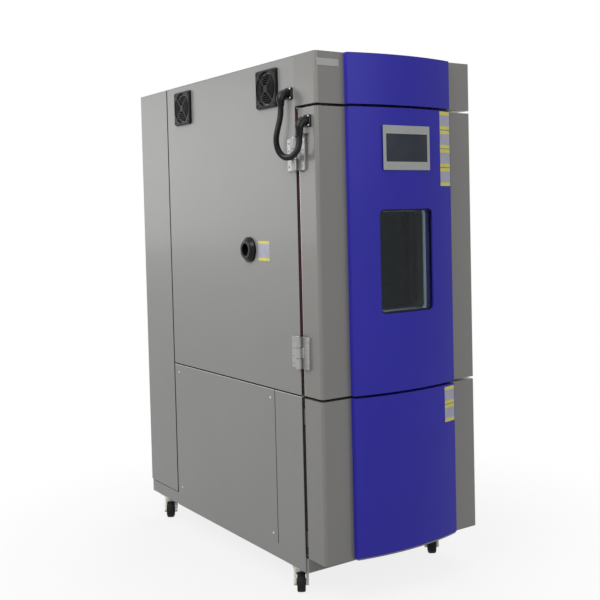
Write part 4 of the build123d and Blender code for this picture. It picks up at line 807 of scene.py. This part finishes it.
def bowed_plate(shape, x0, x1, z0, z1):
    """A thin plate that follows the bowed cover."""
    points = []
    for column in range(BOW_COLUMNS + 1):
        x = x0 + (x1 - x0) * column / BOW_COLUMNS
        back_y = bow_y(x) - TAG_LIFT
        front_y = back_y - TAG_DEPTH
        points += [(x, back_y, z0), (x, front_y, z0), (x, front_y, z1), (x, back_y, z1)]
    shape.add(points, walls(BOW_COLUMNS + 1, 4), Matrix.Identity(4))


def tag_stack(name, body, x0, x1, z0, z1, count):
    """Plain tags in a column: a pale field between two yellow bands, with nothing printed on them."""
    fields, bands = Shape(), Shape()
    pitch = (z1 - z0) / count
    for index in range(count):
        low = z0 + index * pitch + TAG_GAP
        high = z0 + (index + 1) * pitch - TAG_GAP
        band = (high - low) * BAND_SHARE
        bowed_plate(bands, x0, x1, low, low + band)
        bowed_plate(fields, x0, x1, low + band, high - band)
        bowed_plate(bands, x0, x1, high - band, high)
    fields.build(f"{name}_fields", "tag_field", body, "bezel_silver")
    bands.build(f"{name}_bands", "tag_yellow", body, "bezel_silver")


tag_stack("door_tags", "door", x0=0.181, x1=0.243, z0=1.533, z1=1.822, count=4)
tag_stack("lower_tags", "cabinet", x0=0.183, x1=0.243, z0=0.613, z1=0.753, count=2)

PORT_TAG_Y = -0.3395
PORT_TAG_Z = 1.2985
PORT_TAG_WIDTH = 0.083
PORT_FIELD_HEIGHT = 0.052
PORT_BAND_HEIGHT = 0.012
PORT_BAND_REACH = 0.0325
PORT_TAG_DEPTH = 0.0006
PORT_TAG_CORNER = 0.001


def port_tag(name, material, height, levels):
    """Flat strips beside the cable port, at some levels."""
    shape = Shape()
    for level in levels:
        outline = rounded(PORT_TAG_WIDTH, height, PORT_TAG_CORNER, steps=2)
        shape.slab(outline, PORT_TAG_DEPTH, facing((SIDE_X, PORT_TAG_Y, level), LEFT))
    shape.build(name, material, "cabinet", "bezel_silver")


port_tag("port_tag_field", "tag_field", PORT_FIELD_HEIGHT, [PORT_TAG_Z])
port_tag(
    "port_tag_bands", "tag_yellow", PORT_BAND_HEIGHT, [PORT_TAG_Z - PORT_BAND_REACH, PORT_TAG_Z + PORT_BAND_REACH],
)

PLATE_SIZE = (0.097, 0.026)
PLATE_CORNER = 0.003
PLATE_DEPTH = 0.0012
PLATE_EDGE = 0.0004
PLATE_PLACE = (-0.3185, -0.7125, 1.979)

plate = Shape()
plate.slab(rounded(*PLATE_SIZE, PLATE_CORNER, steps=4), PLATE_DEPTH, facing(PLATE_PLACE, FRONT), PLATE_EDGE)
plate.build("head_plate", "bezel_silver", "cabinet", "bezel_silver")


# Screws of the access panels, of the back panel and of the fan guards

PANEL_SCREW = 0.0048
SIDE_SCREWS = ((-0.3594, 0.7268), (0.4287, 0.7267), (-0.3594, 0.192), (0.4287, 0.192))
BACK_SCREW_XS = (-0.315, 0, 0.315)
BACK_SCREW_ZS = (0.185, 0.7268, 1.05, 1.45, 1.99)
BACK_FACE_Y = 0.7625
GUARD_SCREW = 0.0036
GUARD_YS = (-0.3975, 0.3075)
GUARD_Z = 1.918
GUARD_DEPTH = 0.013
GUARD_SCREW_REACH = 0.0605

panel_screws = Shape()
for side in BOTH_SIDES:
    for screw_y, screw_z in SIDE_SCREWS:
        screw_head(panel_screws, (-side * SIDE_X, screw_y, screw_z), (side, 0, 0), PANEL_SCREW)
for screw_x in BACK_SCREW_XS:
    for screw_z in BACK_SCREW_ZS:
        screw_head(panel_screws, (screw_x, BACK_FACE_Y, screw_z), BACK, PANEL_SCREW)
panel_screws.build("panel_screws", "zinc", "cabinet", "zinc")

guard_screws = Shape()
for guard_y in GUARD_YS:
    for side in BOTH_SIDES:
        for level in BOTH_SIDES:
            screw_place = (
                SIDE_X - GUARD_DEPTH, guard_y + side * GUARD_SCREW_REACH, GUARD_Z + level * GUARD_SCREW_REACH,
            )
            screw_head(guard_screws, screw_place, LEFT, GUARD_SCREW)
guard_screws.build("guard_screws", "port_plastic", "cabinet", "port_plastic")


# Base skirts, black strips of painted shade in the seam gaps, and light strips of painted highlight on the lower
# panels just below the seam, on both sides

SIDE_Y0 = -0.5805
SIDE_Y1 = 0.4745
SEAM_Z = 0.764
PANEL_Z = 0.160
BASE_Z = 0.102
SIDE_TOP_Z = 2.016
MOUTH_TOP_Z = 1.828
SKIRT_INSET = 0.004
SKIRT_DEPTH = 0.0041
SKIRT_LAP = 0.001
SKIRT_EDGE = 0.0001
SKIRT_CORNER = 0.0005
STRIP_PROUD = 0.0004
# Height, rise and corner of the painted shade strip over the horizontal side seam gap
SEAM_HEIGHT = 0.0055
SEAM_RISE = 0.0005
SEAM_CORNER = 0.0012
UPRIGHT_CORNER = 0.0008
# Painted highlight strips: thin light strips just below the side seam, for the light caught by the lower panels'
# top edges
HIGHLIGHT_DROP = 0.0034
HIGHLIGHT_HEIGHT = 0.0020
HIGHLIGHT_CORNER = 0.0004
HIGHLIGHT_SPANS = ((SIDE_Y0, -0.393), (-0.390, 0.4735))
LOWER_TOP_Z = 0.761
UPPER_Z = 0.766
# (y, z from, z to, width) of the painted shade strips in the rear seam, the access panel's, and the two beside the
# front
UPRIGHT_SEAMS = (
    (0.4755, PANEL_Z, SIDE_TOP_Z, 0.0080), (-0.3915, PANEL_Z, LOWER_TOP_Z, 0.0026),
    (-0.5838, PANEL_Z, LOWER_TOP_Z, 0.0050), (-0.5846, UPPER_Z, MOUTH_TOP_Z, 0.0078),
)


def side_strip(shape, side, y, z, length, height, corner, depth=STRIP_PROUD, inset=0.0, edge=0.0):
    """A flat strip on one side's face about its middle, which starts an inset behind the face."""
    place = facing((-side * (SIDE_X + inset), y, z), (side, 0, 0))
    shape.slab(rounded(length, height, corner, steps=2), depth, place, edge)


side_y = (SIDE_Y0 + SIDE_Y1) / 2
side_length = SIDE_Y1 - SIDE_Y0
skirt_top_z = PANEL_Z + SKIRT_LAP
skirts = Shape()
bright_strips = Shape()
shade_strips = Shape()
for side in BOTH_SIDES:
    side_strip(
        skirts, side, side_y, (BASE_Z + skirt_top_z) / 2, side_length, skirt_top_z - BASE_Z, SKIRT_CORNER,
        SKIRT_DEPTH, SKIRT_INSET, SKIRT_EDGE,
    )
    side_strip(shade_strips, side, side_y, SEAM_Z + SEAM_RISE, side_length, SEAM_HEIGHT, SEAM_CORNER)
    for y0, y1 in HIGHLIGHT_SPANS:
        side_strip(bright_strips, side, (y0 + y1) / 2, SEAM_Z - HIGHLIGHT_DROP, y1 - y0, HIGHLIGHT_HEIGHT, HIGHLIGHT_CORNER)
    for y, z0, z1, width in UPRIGHT_SEAMS:
        side_strip(shade_strips, side, y, (z0 + z1) / 2, width, z1 - z0, UPRIGHT_CORNER)
skirts.build("base_skirts", "side_grey", "cabinet", "side_grey")
# Light strips of painted highlight below the side seam
bright_strips.build("painted_top_edge_strips", "painted_highlight", "cabinet", "side_grey")
# Black strips of painted shade over the seam gaps and the door's gap, where these fall in shade
shade_strips.build("painted_seam_shadows", "painted_seam_shade", "cabinet", "frame_paint")


# Floor, world and lamps

WORLD_COLOUR = (0.95, 0.97, 1.0, 1.0)
WORLD_STRENGTH = 0.36
WHITE = (1.0, 1.0, 1.0, 1.0)
FLOOR_REACH = 30.0
FLOOR_TONES = ((0.46, 0.46, 0.46), (0.50, 0.50, 0.50))
FLOOR_ROUGHNESS = 0.8
FLOOR_CLOUD = 4.0
FADE_START = 0.5
FADE_END = 1.9
NEAR_SHARE = 0.84
# Each lamp's place, aim, size and power
LAMPS = {
    "key": ((-3.0, -1.0, 3.9), (0, 0.1, 1.5), (2.0, 2.6), 128),
    "front": ((0.2, -5.0, 3.0), (0, -0.4, 1.2), (2.4, 2.4), 60),
    "top": ((0.2, 0.2, 5.4), (0, 0, 1.5), (3.0, 3.0), 60),
    "back": ((2.9, 3.6, 4.6), (0, 0, 1.2), (2.5, 2.5), 95),
    "sheen": ((-2.7, 4.2, 1.9), (-0.375, 0.2, 1.6), (2.8, 1.5), 24),
}


def white_share(tree):
    """One where the background is seen by the camera, in gloss or through glass, and nothing elsewhere."""
    path = tree.nodes.new("ShaderNodeLightPath")
    share = path.outputs["Is Camera Ray"]
    for ray in ("Is Glossy Ray", "Is Transmission Ray"):
        either = tree.nodes.new("ShaderNodeMath")
        either.operation = "MAXIMUM"
        tree.links.new(share, either.inputs[0])
        tree.links.new(path.outputs[ray], either.inputs[1])
        share = either.outputs[0]
    return share


def mixed(tree, share, first, second, output):
    """Two shaders mixed by a share into an output."""
    mix = tree.nodes.new("ShaderNodeMixShader")
    tree.links.new(share, mix.inputs[0])
    tree.links.new(first.outputs[0], mix.inputs[1])
    tree.links.new(second.outputs[0], mix.inputs[2])
    tree.links.new(mix.outputs[0], output.inputs["Surface"])


def background(tree, colour, strength):
    node = tree.nodes.new("ShaderNodeBackground")
    node.inputs["Color"].default_value = colour
    node.inputs["Strength"].default_value = strength
    return node


def world():
    """A dim sky that lights the object, and plain white wherever it is seen."""
    lit = bpy.data.worlds.new("studio")
    lit.use_nodes = True
    tree = lit.node_tree
    tree.nodes.clear()
    output = tree.nodes.new("ShaderNodeOutputWorld")
    plain = background(tree, WORLD_COLOUR, WORLD_STRENGTH)
    white = background(tree, WHITE, 1.0)
    mixed(tree, white_share(tree), plain, white, output)
    scene.world = lit


def fade_share(tree, vector):
    """The share of white on the floor, which grows with the distance from the object."""
    length = tree.nodes.new("ShaderNodeVectorMath")
    length.operation = "LENGTH"
    tree.links.new(vector, length.inputs[0])
    fade = tree.nodes.new("ShaderNodeMapRange")
    fade.interpolation_type = "SMOOTHSTEP"
    fade.inputs["From Min"].default_value = FADE_START
    fade.inputs["From Max"].default_value = FADE_END
    fade.inputs["To Min"].default_value = NEAR_SHARE
    fade.inputs["To Max"].default_value = 1.0
    tree.links.new(length.outputs["Value"], fade.inputs["Value"])
    share = tree.nodes.new("ShaderNodeMath")
    share.operation = "MULTIPLY"
    tree.links.new(white_share(tree), share.inputs[0])
    tree.links.new(fade.outputs["Result"], share.inputs[1])
    return share.outputs[0]


def floor():
    """A pale floor that keeps the object's shadow and runs out to the white background."""
    mesh = bpy.data.meshes.new("floor")
    corners = [
        (-FLOOR_REACH, -FLOOR_REACH, 0), (FLOOR_REACH, -FLOOR_REACH, 0), (FLOOR_REACH, FLOOR_REACH, 0),
        (-FLOOR_REACH, FLOOR_REACH, 0),
    ]
    mesh.from_pydata(corners, [], [(0, 1, 2, 3)])
    material, tree, shader = new_material("floor_pale")
    even = object_space(tree)
    tree.links.new(ramp(tree, noise(tree, even, FLOOR_CLOUD), FLOOR_TONES), shader.inputs["Base Color"])
    shader.inputs["Roughness"].default_value = FLOOR_ROUGHNESS
    white = tree.nodes.new("ShaderNodeEmission")
    white.inputs["Strength"].default_value = 1.0
    mixed(tree, fade_share(tree, even), shader, white, tree.nodes["Material Output"])
    mesh.materials.append(material)
    ground = bpy.data.objects.new("floor", mesh)
    scene.collection.objects.link(ground)


def softbox(name, place, aim, size, power):
    """A rectangular lamp that faces its aim."""
    data = bpy.data.lights.new(name, "AREA")
    data.shape = "RECTANGLE"
    data.size, data.size_y = size
    data.energy = power
    lamp = bpy.data.objects.new(name, data)
    scene.collection.objects.link(lamp)
    away = Vector(place) - Vector(aim)
    lamp.matrix_world = Matrix.Translation(place) @ away.to_track_quat("Z", "Y").to_matrix().to_4x4()


world()
floor()
for lamp_name, lamp_facts in LAMPS.items():
    softbox(lamp_name, *lamp_facts)

scene.view_settings.view_transform = "Standard"
